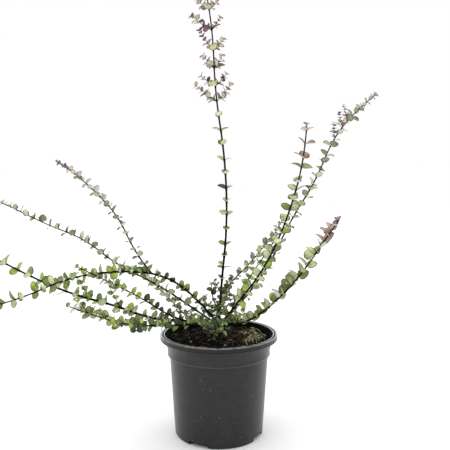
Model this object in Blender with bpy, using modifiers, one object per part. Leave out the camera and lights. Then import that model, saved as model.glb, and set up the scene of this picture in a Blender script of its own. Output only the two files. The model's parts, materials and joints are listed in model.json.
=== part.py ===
"""Potted red tips box honeysuckle, in metres, +Z up.

A nursery pot with its soil carries a short stock. Bare limbs leave the head of the stock, and each
carries on as one leafy mass: a stem, its side shoots and its leaves, fused into one body.
The origin is the middle of the pot's flat underside.
"""

import math
import random
from dataclasses import dataclass

import bmesh
import bpy
from mathutils import Matrix, Vector
from mathutils.bvhtree import BVHTree

PART_NAME = "potted_box_honeysuckle"
GAP = 0.0003
MERGE = 0.00001

# Pot
POT_HEIGHT = 0.147
LIP_RADIUS = 0.085
LIP_DEPTH = 0.0065
LIP_ROLL = 0.0016
LIP_LAND = 0.0066
LIP_RIDGE = 0.0009
LIP_GROOVE = 0.0022
BAND_TOP_RADIUS = 0.0778
BAND_FOOT_RADIUS = 0.0734
BAND_FOOT_HEIGHT = 0.118
STEP_BEAD = 0.0010
STEP_HEIGHT = 0.0022
BODY_TOP_RADIUS = 0.0714
BASE_RADIUS = 0.064
BASE_ROUND = 0.003
BASE_CHAMFER = 0.0009
WALL = 0.0018
FLOOR_THICK = 0.003
POT_TURN_STEPS = 44
NOTCH_COUNT = 4
NOTCH_FIRST_HEADING = -27
NOTCH_WIDTH = 0.030
NOTCH_DEPTH = 0.010
NOTCH_HEIGHT = 0.006

# Soil
SOIL_TOP = 0.1405
SOIL_EDGE_DROP = 0.003
SOIL_MOUND_RADIUS = 0.022
SOIL_SLOPE_SHARE = 0.72
SOIL_GAP = 0.00045

# Stock
STOCK_LEAN = 0.0022
STOCK_LEAN_REACH = 1.4
STOCK_FLARE_RADIUS = 0.0050
STOCK_ROOT_RADIUS = 0.0046
STOCK_ROOT_RISE = 0.0012
STOCK_FLARE_RISE = 0.0035
STOCK_NECK_RADIUS = 0.0031
HEAD_HEIGHT = 0.157
HEAD_RADIUS = 0.006
HEAD_ELEVATIONS = (-38, -15, 10, 35, 60, 80)
STOCK_SIDES_RESOLUTION = 4

# Canes
PATH_STEPS = 64
TIP_TAPER = 0.52
LIMB_RING_PITCH = 0.008
STEM_RING_PITCH = 0.018
TWIG_SECTION_SCALE = 1.12

# Leaves; a leaf's tilt is its angle to the stem that bears it, and its pitch is in leaf lengths
LEAF_PITCH = 1.96
FIRST_NODE = 0.006
LEAF_WIDTH = 0.78
LEAF_THICKNESS = 0.0006
LEAF_TILT = 58
LEAF_SWING = 14
LEAF_WIDEST = 0.44
LEAF_CLEARANCE = 0.0004
LEAF_ROOT = 0.0002
TIP_STRETCH = 0.1
TIP_CLOSING = 20
TIP_LEAF_TILT = 12

# Side shoots
SHOOT_TILT = 48
SHOOT_TILT_SWAY = 8
SHOOT_TURN_SWAY = 25
SHOOT_SHORTEST = 0.8
SHOOT_LONGEST = 1.15
SHOOT_RADIUS = 0.0007
SHOOT_TAPER = 0.12
SHOOT_POINTS = 4
SHOOT_LEAF_TILT = 50
SHOOT_LEAF_FIRST = 1.1
SHOOT_LEAF_FADE = 0.1
SHOOT_LEAF_TURN = 40
SEED = 41
SEAT_ROUNDS = 3


@dataclass
class Cane:
    """One cane: its limb is bare, and the rest of it bears leaves.

    The heading is the compass angle from +X towards +Y in degrees, and it turns evenly along the cane.
    The rises are its angles above level at even shares of its length. Leaves grow from their share at
    the foot to their full size at the share named full, and shrink from the fade to their share at the
    tip. Side shoots stand in pairs at a turn of 90, and else on one side, with leaves of their own size,
    and they bend up by their lift.
    """
    name: str
    heading: float
    turn: float
    rises: tuple
    length: float
    foot_radius: float = 0.0014
    bare: float = 0.0
    leaf: float = 0.0125
    pitch: float = 0.011
    foot_leaf: float = 0.75
    full: float = 0.5
    fade: float = 0.6
    tip_leaf: float = 0.4
    parent: str = ""
    share: float = 0.0
    shoots: int = 0
    shoot_span: tuple = (0.3, 0.9)
    shoot_length: float = 0.03
    shoot_turn: float = 90
    shoot_leaf: float = 0.0085
    shoot_lift: float = 0.35


CANES = [
    Cane("leader", 170, 0, (93, 96, 88, 81, 88, 78), 0.471, foot_radius=0.0018, bare=0.058, leaf=0.0152,
         pitch=0.0280, foot_leaf=0.55, full=1.0, fade=0.97, shoots=12, shoot_span=(0.665, 0.97),
         shoot_length=0.032, shoot_leaf=0.0090),
    Cane("right_long", 50, -16, (24, 36, 53, 45, 60, 39, 32), 0.533, foot_radius=0.0016, bare=0.060,
         leaf=0.0148, fade=0.82, shoots=3, shoot_span=(0.72, 0.86), shoot_length=0.027, shoot_turn=0,
         shoot_leaf=0.0086),
    Cane("right_tall", -40, -16, (47, 48, 60, 69, 86), 0.321, foot_radius=0.0016, bare=0.045,
         leaf=0.0150, fade=0.92, tip_leaf=0.45),
    Cane("right_low", -15, -42, (4, 39, 48, 53, 47), 0.248, bare=0.022, leaf=0.0170, foot_leaf=0.62,
         fade=0.86, tip_leaf=0.2),
    Cane("left_long", 180, 12, (11, 2, 22, 16, 25, 30, 26), 0.356, foot_radius=0.0021, bare=0.055,
         leaf=0.0140, fade=0.9, shoots=2, shoot_span=(0.34, 0.56), shoot_length=0.055, shoot_turn=0,
         shoot_leaf=0.0100),
    Cane("left_rising", 145, 17, (22, 24, 16, 31, 15, 21, 20), 0.475, foot_radius=0.0015, bare=0.034,
         leaf=0.0138, fade=0.75),
    Cane("left_arch", 199, 8, (54, 42, 9, -4, -21, -9), 0.339, foot_radius=0.0016, bare=0.026,
         leaf=0.0132, foot_leaf=0.5, full=0.95, fade=0.97),
    Cane("left_low", 222, -20, (13, 7, 7, 22, 26), 0.222, bare=0.045, leaf=0.0118, foot_leaf=0.65,
         shoots=6, shoot_span=(0.28, 0.90), shoot_length=0.030, shoot_leaf=0.0092, shoot_lift=-0.3),
    Cane("centre_front", 262, 12, (26, 2, -12), 0.078, foot_radius=0.0012, bare=0.014, leaf=0.0092,
         shoots=4, shoot_length=0.022),
    Cane("centre_back", 88, -6, (22, 9, 0, -4), 0.175, foot_radius=0.0012, bare=0.016, leaf=0.0115),
    Cane("left_tall", 145, -10, (38, 56, 32, 27, 16), 0.274, foot_radius=0.0012, leaf=0.0110,
         foot_leaf=1.0, fade=0.7, parent="left_arch", share=0.37),
    Cane("left_front", 208, 10, (22, 36, 31, 29, 29), 0.180, foot_radius=0.0012, leaf=0.0116,
         parent="left_long", share=0.13, shoots=2, shoot_length=0.022),
    Cane("left_back", 125, -15, (6, 16, 12, 3, -8), 0.235, foot_radius=0.0011, leaf=0.0106,
         parent="left_long", share=0.08),
    Cane("right_mid", 15, 10, (75, 51, 54, 50, 61), 0.125, foot_radius=0.0011, leaf=0.0116,
         parent="right_tall", share=0.10),
    Cane("right_back", 55, 10, (30, 20, 24, 21, 35), 0.231, foot_radius=0.0011, leaf=0.0112,
         parent="leader", share=0.085),
    Cane("centre_left", 190, 20, (50, 80, 88), 0.040, foot_radius=0.0010, leaf=0.0100,
         parent="leader", share=0.04),
]

# Materials: colour, roughness, metallic
MATERIALS = {
    "pot_plastic": ((0.055, 0.057, 0.060), 0.45, 0.0),
    "potting_soil": ((0.022, 0.016, 0.012), 0.95, 0.0),
    "bark": ((0.050, 0.028, 0.026), 0.75, 0.0),
    "foliage": ((0.150, 0.230, 0.070), 0.55, 0.0),
}


def clear_scene():
    """Removes every object, so the script gives the same scene each run."""
    for old in list(bpy.data.objects):
        bpy.data.objects.remove(old, do_unlink=True)


def make_collection(name):
    """A new collection under the scene's own."""
    collection = bpy.data.collections.new(name)
    bpy.context.scene.collection.children.link(collection)
    return collection


def make_material(name):
    """A Principled material with the colour, roughness and metallic value of the finish."""
    colour, roughness, metallic = MATERIALS[name]
    material = bpy.data.materials.new(name)
    material.use_nodes = True
    shader = material.node_tree.nodes["Principled BSDF"]
    shader.inputs["Base Color"].default_value = (*colour, 1.0)
    shader.inputs["Roughness"].default_value = roughness
    shader.inputs["Metallic"].default_value = metallic
    material.diffuse_color = (*colour, 1.0)
    return material


def add_object(name, data, collection, material=None):
    """Puts data in the scene as an object of that name."""
    obj = bpy.data.objects.new(name, data)
    collection.objects.link(obj)
    if material is not None:
        data.materials.clear()
        data.materials.append(material)
    return obj


# Turned shapes

def turned(name, profile, collection, material):
    """A closed solid turned about Z from a profile of (radius, height) points, outer side top to bottom."""
    mesh = bpy.data.meshes.new(name)
    bm = bmesh.new()
    verts = [bm.verts.new((radius, 0.0, height)) for radius, height in profile]
    for first, second in zip(verts, verts[1:]):
        bm.edges.new((first, second))
    bm.to_mesh(mesh)
    bm.free()
    obj = add_object(name, mesh, collection, material)
    screw = obj.modifiers.new("turn", "SCREW")
    screw.axis = "Z"
    screw.steps = POT_TURN_STEPS
    screw.render_steps = POT_TURN_STEPS
    screw.use_merge_vertices = True
    screw.merge_threshold = MERGE
    return obj


def wall_radius(height):
    """The pot's outer radius below its lip, at a height."""
    if height >= BAND_FOOT_HEIGHT:
        share = (height - BAND_FOOT_HEIGHT) / (POT_HEIGHT - BAND_FOOT_HEIGHT)
        return BAND_FOOT_RADIUS + share * (BAND_TOP_RADIUS - BAND_FOOT_RADIUS)
    share = height / BAND_FOOT_HEIGHT
    return BASE_RADIUS + share * (BODY_TOP_RADIUS - BASE_RADIUS)


def make_pot(parts, cutters, material):
    """The pot: a turned shell with a rolled lip, a band above a raised step, and notches cut in its foot."""
    lip_under = POT_HEIGHT - LIP_DEPTH
    step_top = BAND_FOOT_HEIGHT + STEP_HEIGHT / 2
    step_foot = BAND_FOOT_HEIGHT - STEP_HEIGHT / 2
    inner_foot = BASE_RADIUS - NOTCH_DEPTH - WALL
    inner_lip = LIP_RADIUS - LIP_LAND
    outer_roll = LIP_RADIUS - LIP_ROLL
    raised_floor = NOTCH_HEIGHT + WALL
    profile = [
        (0.0, FLOOR_THICK),
        (inner_foot - WALL, FLOOR_THICK),
        (inner_foot, raised_floor),
        (wall_radius(raised_floor) - WALL, raised_floor),
        (wall_radius(step_foot) - WALL, step_foot),
        (wall_radius(step_top) - WALL, step_top),
        (wall_radius(lip_under) - WALL, lip_under),
        (inner_lip, POT_HEIGHT - LIP_RIDGE),
        (inner_lip + LIP_RIDGE, POT_HEIGHT),
        (inner_lip + LIP_GROOVE, POT_HEIGHT - LIP_GROOVE),
        (outer_roll - LIP_ROLL, POT_HEIGHT - LIP_ROLL),
        (outer_roll, POT_HEIGHT),
        (LIP_RADIUS, POT_HEIGHT - LIP_ROLL),
        (LIP_RADIUS, lip_under),
        (outer_roll, lip_under - LIP_ROLL / 2),
        (wall_radius(lip_under) + LIP_ROLL / 2, lip_under - LIP_ROLL / 2),
        (wall_radius(step_top), step_top + STEP_HEIGHT / 2),
        (wall_radius(step_top) + STEP_BEAD, step_top),
        (wall_radius(step_top) + STEP_BEAD, step_foot),
        (wall_radius(step_foot), step_foot - STEP_HEIGHT / 2),
        (wall_radius(BASE_ROUND), BASE_ROUND),
        (BASE_RADIUS - BASE_CHAMFER, BASE_CHAMFER),
        (BASE_RADIUS - BASE_ROUND, 0.0),
        (0.0, 0.0),
    ]
    pot = turned("pot", profile, parts, material)
    for index in range(NOTCH_COUNT):
        heading = math.radians(-90 + NOTCH_FIRST_HEADING + 360 / NOTCH_COUNT * index)
        bpy.ops.mesh.primitive_cube_add(size=1.0)
        cutter = bpy.context.active_object
        cutter.name = f"notch_cutter_{index + 1}"
        cutter.scale = (NOTCH_DEPTH * 2, NOTCH_WIDTH, NOTCH_HEIGHT * 2)
        cutter.location = (BASE_RADIUS * math.cos(heading), BASE_RADIUS * math.sin(heading), 0.0)
        cutter.rotation_euler = (0.0, 0.0, heading)
        cutter.hide_render = True
        cutter.display_type = "WIRE"
        for collection in list(cutter.users_collection):
            collection.objects.unlink(cutter)
        cutters.objects.link(cutter)
        cut = pot.modifiers.new(f"notch_{index + 1}", "BOOLEAN")
        cut.object = cutter
        cut.operation = "DIFFERENCE"
        cut.solver = "EXACT"
    return pot


def make_soil(parts, material):
    """The soil that fills the pot, flat under the stock and a little lower at the wall."""
    raised_floor = NOTCH_HEIGHT + WALL
    inner_foot = BASE_RADIUS - NOTCH_DEPTH - WALL
    edge_top = SOIL_TOP - SOIL_EDGE_DROP
    step_top = BAND_FOOT_HEIGHT + STEP_HEIGHT / 2
    step_foot = BAND_FOOT_HEIGHT - STEP_HEIGHT / 2

    def inside(height):
        return wall_radius(height) - WALL - SOIL_GAP

    profile = [
        (0.0, SOIL_TOP),
        (SOIL_MOUND_RADIUS, SOIL_TOP),
        (inside(edge_top) * SOIL_SLOPE_SHARE, edge_top + SOIL_EDGE_DROP / 5),
        (inside(edge_top), edge_top),
        (inside(step_top), step_top),
        (inside(step_foot), step_foot),
        (inside(raised_floor), raised_floor + GAP),
        (inner_foot - GAP, raised_floor + GAP),
        (inner_foot - WALL - GAP, FLOOR_THICK + GAP),
        (0.0, FLOOR_THICK + GAP),
    ]
    return turned("soil", profile, parts, material)


# Tubes

def curve_tube(name, points, radii, collection, section=None, resolution=2):
    """A mesh tube through points, with a radius at each; section is a curve for its cross-section."""
    curve = bpy.data.curves.new(name, "CURVE")
    curve.dimensions = "3D"
    curve.use_fill_caps = True
    curve.render_resolution_u = 0
    if section is None:
        curve.bevel_depth = 1.0
        curve.bevel_resolution = resolution
    else:
        curve.bevel_mode = "OBJECT"
        curve.bevel_object = section
    spline = curve.splines.new("POLY")
    spline.points.add(len(points) - 1)
    for place, point, radius in zip(spline.points, points, radii):
        place.co = (*point, 1.0)
        place.radius = radius
    guide = bpy.data.objects.new(name + "_curve", curve)
    collection.objects.link(guide)
    depsgraph = bpy.context.evaluated_depsgraph_get()
    mesh = bpy.data.meshes.new_from_object(guide.evaluated_get(depsgraph))
    bpy.data.objects.remove(guide, do_unlink=True)
    bpy.data.curves.remove(curve)
    bm = bmesh.new()
    bm.from_mesh(mesh)
    bmesh.ops.remove_doubles(bm, verts=bm.verts, dist=MERGE)
    bmesh.ops.triangulate(bm, faces=bm.faces)
    bmesh.ops.recalc_face_normals(bm, faces=bm.faces)
    bm.to_mesh(mesh)
    bm.free()
    mesh.name = name
    return mesh


def make_twig_section(cutters):
    """The three-sided cross-section of stems and twigs, one unit in radius."""
    curve = bpy.data.curves.new("twig_section", "CURVE")
    curve.dimensions = "2D"
    spline = curve.splines.new("POLY")
    spline.points.add(2)
    for index, place in enumerate(spline.points):
        angle = math.radians(90 + 120 * index)
        place.co = (TWIG_SECTION_SCALE * math.cos(angle), TWIG_SECTION_SCALE * math.sin(angle), 0.0, 1.0)
    spline.use_cyclic_u = True
    section = bpy.data.objects.new("twig_section", curve)
    section.hide_render = True
    section.display_type = "WIRE"
    cutters.objects.link(section)
    return section


def make_stock(parts, material):
    """The stock: a short leaning trunk with a root flare, from its flat cut on the soil to its round head."""
    foot = SOIL_TOP + GAP
    neck_rise = (HEAD_HEIGHT - foot) / 2
    rows = [
        (0.0, STOCK_FLARE_RADIUS),
        (STOCK_ROOT_RISE, STOCK_ROOT_RADIUS),
        (STOCK_FLARE_RISE, (STOCK_FLARE_RADIUS + STOCK_NECK_RADIUS) / 2),
        (neck_rise, STOCK_NECK_RADIUS),
    ]
    for elevation in HEAD_ELEVATIONS:
        angle = math.radians(elevation)
        rows.append((HEAD_HEIGHT - foot + HEAD_RADIUS * math.sin(angle), HEAD_RADIUS * math.cos(angle)))
    points = []
    radii = []
    for rise, radius in rows:
        lean_left = max(0.0, 1 - max(0.0, rise - STOCK_ROOT_RISE) / (neck_rise * STOCK_LEAN_REACH))
        points.append(Vector((STOCK_LEAN * lean_left, 0.0, foot + rise)))
        radii.append(radius)
    mesh = curve_tube("stock", points, radii, parts, resolution=STOCK_SIDES_RESOLUTION)
    return add_object("stock", mesh, parts, material)


# Canes

def direction_at(cane, share):
    """The cane's direction at a share of its length."""
    place = min(max(share, 0.0), 1.0) * (len(cane.rises) - 1)
    index = min(int(place), len(cane.rises) - 2)
    rise = cane.rises[index] + (cane.rises[index + 1] - cane.rises[index]) * (place - index)
    rise = math.radians(rise)
    heading = math.radians(cane.heading + cane.turn * share)
    return Vector((math.cos(rise) * math.cos(heading), math.cos(rise) * math.sin(heading), math.sin(rise)))


def cane_radius(cane, share):
    """The cane's radius at a share of its length: an even taper."""
    return cane.foot_radius * (1 - (1 - TIP_TAPER) * share)


def grow_path(cane, paths):
    """Points along a cane at even shares of its length, from the head of the stock or its parent's side."""
    out = direction_at(cane, 0.0)
    if cane.parent:
        parent = next(other for other in CANES if other.name == cane.parent)
        along = direction_at(parent, cane.share)
        side = (out - along * out.dot(along)).normalized()
        lean = abs(out.dot(along))
        radii = cane_radius(parent, cane.share) + cane_radius(cane, 0.0) * TWIG_SECTION_SCALE * lean
        start = point_at(paths[cane.parent], cane.share) + side * (radii + GAP)
    else:
        start = Vector((0.0, 0.0, HEAD_HEIGHT)) + out * (HEAD_RADIUS + GAP)
    points = [start]
    for index in range(PATH_STEPS):
        step = direction_at(cane, (index + 0.5) / PATH_STEPS) * (cane.length / PATH_STEPS)
        points.append(points[-1] + step)
    return points


def point_at(path, share):
    """The point at a share of a path's length."""
    place = min(max(share, 0.0), 1.0) * (len(path) - 1)
    index = min(int(place), len(path) - 2)
    return path[index].lerp(path[index + 1], place - index)


def stretch(cane, path, first, last, pitch):
    """Points and radii along a stretch of a cane, at about the given pitch in metres."""
    count = max(2, round((last - first) * cane.length / pitch))
    shares = [first + (last - first) * index / count for index in range(count + 1)]
    return [point_at(path, share) for share in shares], [cane_radius(cane, share) for share in shares]


def make_limb(cane, path, parts, material):
    """The cane's bare foot: one tapering limb."""
    points, radii = stretch(cane, path, 0.0, cane.bare / cane.length, LIMB_RING_PITCH)
    mesh = curve_tube(cane.name + "_limb", points, radii, parts, resolution=2)
    return add_object(cane.name + "_limb", mesh, parts, material)


def seat_path(cane, path, trees, parts, section):
    """Moves a side cane's path towards its parent until its foot is one gap clear of the parent's side."""
    parent = next(other for other in CANES if other.name == cane.parent)
    along = direction_at(parent, cane.share)
    out = direction_at(cane, 0.0)
    side = (out - along * out.dot(along)).normalized()
    for _ in range(SEAT_ROUNDS):
        points, radii = stretch(cane, path, 0.0, 1.0, STEM_RING_PITCH)
        mesh = curve_tube("foot", points, radii, parts, section)
        near = [vert.co.copy() for vert in mesh.vertices if (vert.co - path[0]).length < cane.foot_radius * 2]
        bpy.data.meshes.remove(mesh)
        clear = min(tree.find_nearest(place)[3] for tree in trees for place in near)
        path = [point - side * (clear - GAP) for point in path]
    return path


def mass_start(cane):
    """The share of the cane at which its leafy stem starts, just clear of the limb's tip."""
    return (cane.bare + GAP) / cane.length if cane.bare else 0.0


def tree_of(mesh):
    """A search tree of a mesh's faces."""
    bm = bmesh.new()
    bm.from_mesh(mesh)
    tree = BVHTree.FromBMesh(bm)
    bm.free()
    return tree


# Leaves

def side_vector(along, turn):
    """A vector square to along, at a turn in degrees from the upper side."""
    level = Vector((0.0, 0.0, 1.0))
    across = along.cross(level)
    if across.length < 0.2:
        across = Vector((1.0, 0.0, 0.0)) - along * along.x
    across.normalize()
    upper = across.cross(along).normalized()
    angle = math.radians(turn)
    return upper * math.cos(angle) + across * math.sin(angle)


def leaf_mesh(name, root, out, face, length, margin=0.0):
    """An eight-faced leaf: its root is sunk in the stem, it lies along out, and face is its normal."""
    bm = bmesh.new()
    bmesh.ops.create_uvsphere(bm, u_segments=4, v_segments=2, radius=1.0)
    half = length / 2 + margin
    wide = length * LEAF_WIDTH / 2 + margin
    thick = LEAF_THICKNESS / 2 + margin
    across = face.cross(out).normalized()
    frame = Matrix((out, across, face)).transposed().to_4x4()
    frame.translation = root + out * (length / 2)
    for vert in bm.verts:
        widest = (LEAF_WIDEST - 0.5) * 2 * (1 - abs(vert.co.x))
        vert.co = frame @ Vector(((vert.co.x + widest) * half, vert.co.y * wide, vert.co.z * thick))
    mesh = bpy.data.meshes.new(name)
    bm.to_mesh(mesh)
    bm.free()
    return mesh


class Mass:
    """A cane's leafy mass while it is being made: its stem, and the twigs and leaves to fuse to it."""

    def __init__(self, cane, stem, collection, section):
        self.cane = cane
        self.stem = stem
        self.collection = collection
        self.section = section
        self.pieces = bpy.data.collections.new(cane.name + "_pieces")
        bpy.context.scene.collection.children.link(self.pieces)
        self.trees = []

    def add(self, mesh, probe, taken):
        """Adds a twig or a leaf unless its probe, which is a little larger, touches another node."""
        tree = tree_of(probe)
        bpy.data.meshes.remove(probe)
        if any(tree.overlap(other) for other in taken):
            bpy.data.meshes.remove(mesh)
            return False
        self.trees.append(tree_of(mesh))
        add_object(mesh.name, mesh, self.pieces)
        return True

    def add_leaf(self, root, along, turn, length, tilt, taken):
        """Adds a leaf at a turn round a twig whose direction is along."""
        side = side_vector(along, turn)
        angle = math.radians(tilt)
        out = (along * math.cos(angle) + side * math.sin(angle)).normalized()
        face = (along * math.sin(angle) - side * math.cos(angle)).normalized()
        sunk = root + side * LEAF_ROOT
        mesh = leaf_mesh(self.cane.name + "_leaf", sunk, out, face, length)
        probe = leaf_mesh("probe", sunk, out, face, length, LEAF_CLEARANCE)
        return self.add(mesh, probe, taken)

    def fuse(self):
        """Fuses the pieces to the stem by one union and keeps its largest body."""
        union = self.stem.modifiers.new("fuse", "BOOLEAN")
        union.operand_type = "COLLECTION"
        union.collection = self.pieces
        union.operation = "UNION"
        union.solver = "EXACT"
        depsgraph = bpy.context.evaluated_depsgraph_get()
        mesh = bpy.data.meshes.new_from_object(self.stem.evaluated_get(depsgraph))
        mesh.name = self.stem.name
        self.stem.modifiers.clear()
        self.stem.data = mesh
        for piece in list(self.pieces.objects):
            bpy.data.objects.remove(piece, do_unlink=True)
        bpy.data.collections.remove(self.pieces)
        keep_outer_body(mesh)


def keep_outer_body(mesh):
    """Keeps the largest closed body of a mesh, so a sealed hollow is filled and a loose scrap is dropped."""
    bm = bmesh.new()
    bm.from_mesh(mesh)
    bmesh.ops.triangulate(bm, faces=bm.faces)
    bodies = []
    seen = set()
    for face in bm.faces:
        if face in seen:
            continue
        body = [face]
        seen.add(face)
        for member in body:
            for edge in member.edges:
                for neighbour in edge.link_faces:
                    if neighbour not in seen:
                        seen.add(neighbour)
                        body.append(neighbour)
        bodies.append(body)
    bodies.sort(key=len, reverse=True)
    scraps = [face for body in bodies[1:] for face in body]
    bmesh.ops.delete(bm, geom=scraps, context="FACES")
    bm.to_mesh(mesh)
    bm.free()


def leaf_size(cane, share):
    """The length of a leaf at a share of the cane: it grows from the foot, and shrinks from the fade."""
    growth = cane.foot_leaf + (1 - cane.foot_leaf) * min(1.0, share / cane.full)
    fade = max(0.0, (share - cane.fade) / (1 - cane.fade))
    return cane.leaf * growth * (1 - (1 - cane.tip_leaf) * fade * fade)


def node_shares(cane):
    """The shares of the cane's length at which a pair of leaves stands."""
    shares = []
    share = mass_start(cane) + FIRST_NODE / cane.length
    while share < 1.0:
        shares.append(share)
        share += max(cane.pitch, leaf_size(cane, share) * LEAF_PITCH) / cane.length
    return shares


def leaf_stem(mass, path, taken, dice):
    """Sets pairs of leaves along the stem, each pair square to the last, and one at its tip."""
    cane = mass.cane
    turn = dice.uniform(0, 180)
    for share in node_shares(cane):
        along = direction_at(cane, share)
        closing = TIP_CLOSING * max(0.0, share - 1 + TIP_STRETCH) / TIP_STRETCH
        for side in (0, 180):
            swing = dice.uniform(-LEAF_SWING, LEAF_SWING)
            tilt = LEAF_TILT + dice.uniform(-LEAF_SWING, LEAF_SWING) - closing
            length = leaf_size(cane, share)
            mass.add_leaf(point_at(path, share), along, turn + side + swing, length, tilt, taken)
        turn += 90
    tip = point_at(path, 1.0) - direction_at(cane, 1.0) * SHOOT_RADIUS
    mass.add_leaf(tip, direction_at(cane, 1.0), turn, leaf_size(cane, 1.0), TIP_LEAF_TILT, taken)


def add_shoots(mass, path, taken, dice):
    """Grows side shoots from the stem's nodes: each curves up a little and bears small leaves."""
    cane = mass.cane
    first, last = cane.shoot_span
    paired = cane.shoot_turn == 90
    steps = (cane.shoots + 1) // 2 if paired else cane.shoots
    for index in range(cane.shoots):
        step = index // 2 if paired else index
        wanted = first + (last - first) * (step + 0.5) / steps
        share = min(node_shares(cane), key=lambda node: abs(node - wanted))
        along = direction_at(cane, share)
        turn = cane.shoot_turn + (180 * (index % 2) if paired else 0)
        side = side_vector(along, turn + dice.uniform(-SHOOT_TURN_SWAY, SHOOT_TURN_SWAY))
        angle = math.radians(SHOOT_TILT + dice.uniform(-SHOOT_TILT_SWAY, SHOOT_TILT_SWAY))
        out = along * math.cos(angle) + side * math.sin(angle)
        add_shoot(mass, point_at(path, share), out, index, taken, dice)


def add_shoot(mass, start, out, index, taken, dice):
    """One side shoot with three pairs of leaves."""
    cane = mass.cane
    length = cane.shoot_length * dice.uniform(SHOOT_SHORTEST, SHOOT_LONGEST)
    points = [start]
    ways = []
    for step in range(SHOOT_POINTS - 1):
        way = (out + Vector((0.0, 0.0, cane.shoot_lift * step / SHOOT_POINTS))).normalized()
        ways.append(way)
        points.append(points[-1] + way * length / (SHOOT_POINTS - 1))
    radii = [SHOOT_RADIUS * (1 - SHOOT_TAPER * step) for step in range(SHOOT_POINTS)]
    mesh = curve_tube(f"{cane.name}_shoot_{index + 1}", points, radii, mass.collection, mass.section)
    wider = [radius + LEAF_CLEARANCE for radius in radii]
    probe = curve_tube("probe", points, wider, mass.collection, mass.section)
    if not mass.add(mesh, probe, taken):
        return
    for step in range(1, SHOOT_POINTS):
        turn = 90 * step + SHOOT_LEAF_TURN * index
        small = cane.shoot_leaf * (SHOOT_LEAF_FIRST - SHOOT_LEAF_FADE * step)
        root = points[step] - ways[step - 1] * SHOOT_RADIUS
        for side_turn in (0, 180):
            mass.add_leaf(root, ways[step - 1], turn + side_turn, small, SHOOT_LEAF_TILT, taken)


def make_plant(parts, cutters, materials):
    """The stock, the limbs and the masses; each leaf keeps clear of every other node."""
    section = make_twig_section(cutters)
    fixed = [tree_of(make_stock(parts, materials["bark"]).data)]
    paths = {}
    stems = {}
    stem_trees = {}
    for cane in CANES:
        path = grow_path(cane, paths)
        if cane.parent:
            path = seat_path(cane, path, fixed + list(stem_trees.values()), parts, section)
        paths[cane.name] = path
        if cane.bare:
            fixed.append(tree_of(make_limb(cane, path, parts, materials["bark"]).data))
        points, radii = stretch(cane, path, mass_start(cane), 1.0, STEM_RING_PITCH)
        mesh = curve_tube(cane.name + "_foliage", points, radii, parts, section)
        stems[cane.name] = add_object(cane.name + "_foliage", mesh, parts, materials["foliage"])
        stem_trees[cane.name] = tree_of(mesh)
    ground = [tree_of(evaluated_mesh(parts.objects[name])) for name in ("pot", "soil")]
    grown = []
    for index, cane in enumerate(CANES):
        others = [tree for name, tree in stem_trees.items() if name != cane.name]
        taken = fixed + ground + others + grown
        mass = Mass(cane, stems[cane.name], parts, section)
        dice = random.Random(SEED + index)
        add_shoots(mass, paths[cane.name], taken, dice)
        leaf_stem(mass, paths[cane.name], taken, dice)
        grown.extend(mass.trees)
        mass.fuse()


def evaluated_mesh(obj):
    """An object's mesh with its modifiers."""
    depsgraph = bpy.context.evaluated_depsgraph_get()
    return bpy.data.meshes.new_from_object(obj.evaluated_get(depsgraph))


def main():
    """Builds the pot, the soil and the plant."""
    clear_scene()
    parts = make_collection(PART_NAME)
    cutters = make_collection("cutters")
    materials = {name: make_material(name) for name in MATERIALS}
    make_pot(parts, cutters, materials["pot_plastic"])
    make_soil(parts, materials["potting_soil"])
    make_plant(parts, cutters, materials)


main()
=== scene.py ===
"""The looks of a potted red tips box honeysuckle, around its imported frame, in metres and +Z up.

The pot, the soil, the bark, the twigs and the leaves are modelled here in the places that the frame
gives. Stems and leaves grow from the limbs by the same rule as the solids, carried to finer twigs.
"""

import json
import math
import random
from dataclasses import dataclass

import bpy
from mathutils import Matrix, Vector

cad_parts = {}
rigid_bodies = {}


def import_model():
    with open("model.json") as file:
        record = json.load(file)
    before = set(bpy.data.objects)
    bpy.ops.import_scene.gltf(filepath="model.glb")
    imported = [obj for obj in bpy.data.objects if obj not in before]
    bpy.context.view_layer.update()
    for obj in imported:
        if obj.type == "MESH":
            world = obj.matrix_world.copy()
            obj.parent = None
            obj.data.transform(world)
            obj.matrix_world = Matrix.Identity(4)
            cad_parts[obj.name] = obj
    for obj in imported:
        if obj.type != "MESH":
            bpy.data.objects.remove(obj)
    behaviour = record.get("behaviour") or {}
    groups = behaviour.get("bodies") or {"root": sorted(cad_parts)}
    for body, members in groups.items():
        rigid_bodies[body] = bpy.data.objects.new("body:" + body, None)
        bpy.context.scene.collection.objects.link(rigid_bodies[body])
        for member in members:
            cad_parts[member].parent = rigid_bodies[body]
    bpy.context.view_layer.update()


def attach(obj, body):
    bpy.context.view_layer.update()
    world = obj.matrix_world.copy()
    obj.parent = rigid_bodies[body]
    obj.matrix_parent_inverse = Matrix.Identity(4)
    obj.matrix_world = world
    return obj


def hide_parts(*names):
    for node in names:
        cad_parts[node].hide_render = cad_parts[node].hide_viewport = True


PICTURE_SIZE = 450
SENSOR = 36.0
MERGE = 0.00001
SEED = 17

# Camera
CAMERA_PLACE = (0.0089, -0.8414, 0.3753)
CAMERA_TILT = 85.13
FOCAL_PIXELS = 589.2
CLIP_START = 0.01

# Studio: the surround's strength in front, at the sides and behind, and above, and one soft lamp
FRONT_LIGHT = 0.45
SIDE_LIGHT = 2.7
TOP_LIGHT = 1.4
LAMP_PLACE = (-1.1, -1.2, 1.5)
LAMP_AIM = (0.0, 0.0, 0.25)
LAMP_SIZE = 1.2
LAMP_POWER = 6.0
FLOOR_SIZE = 12.0

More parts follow.
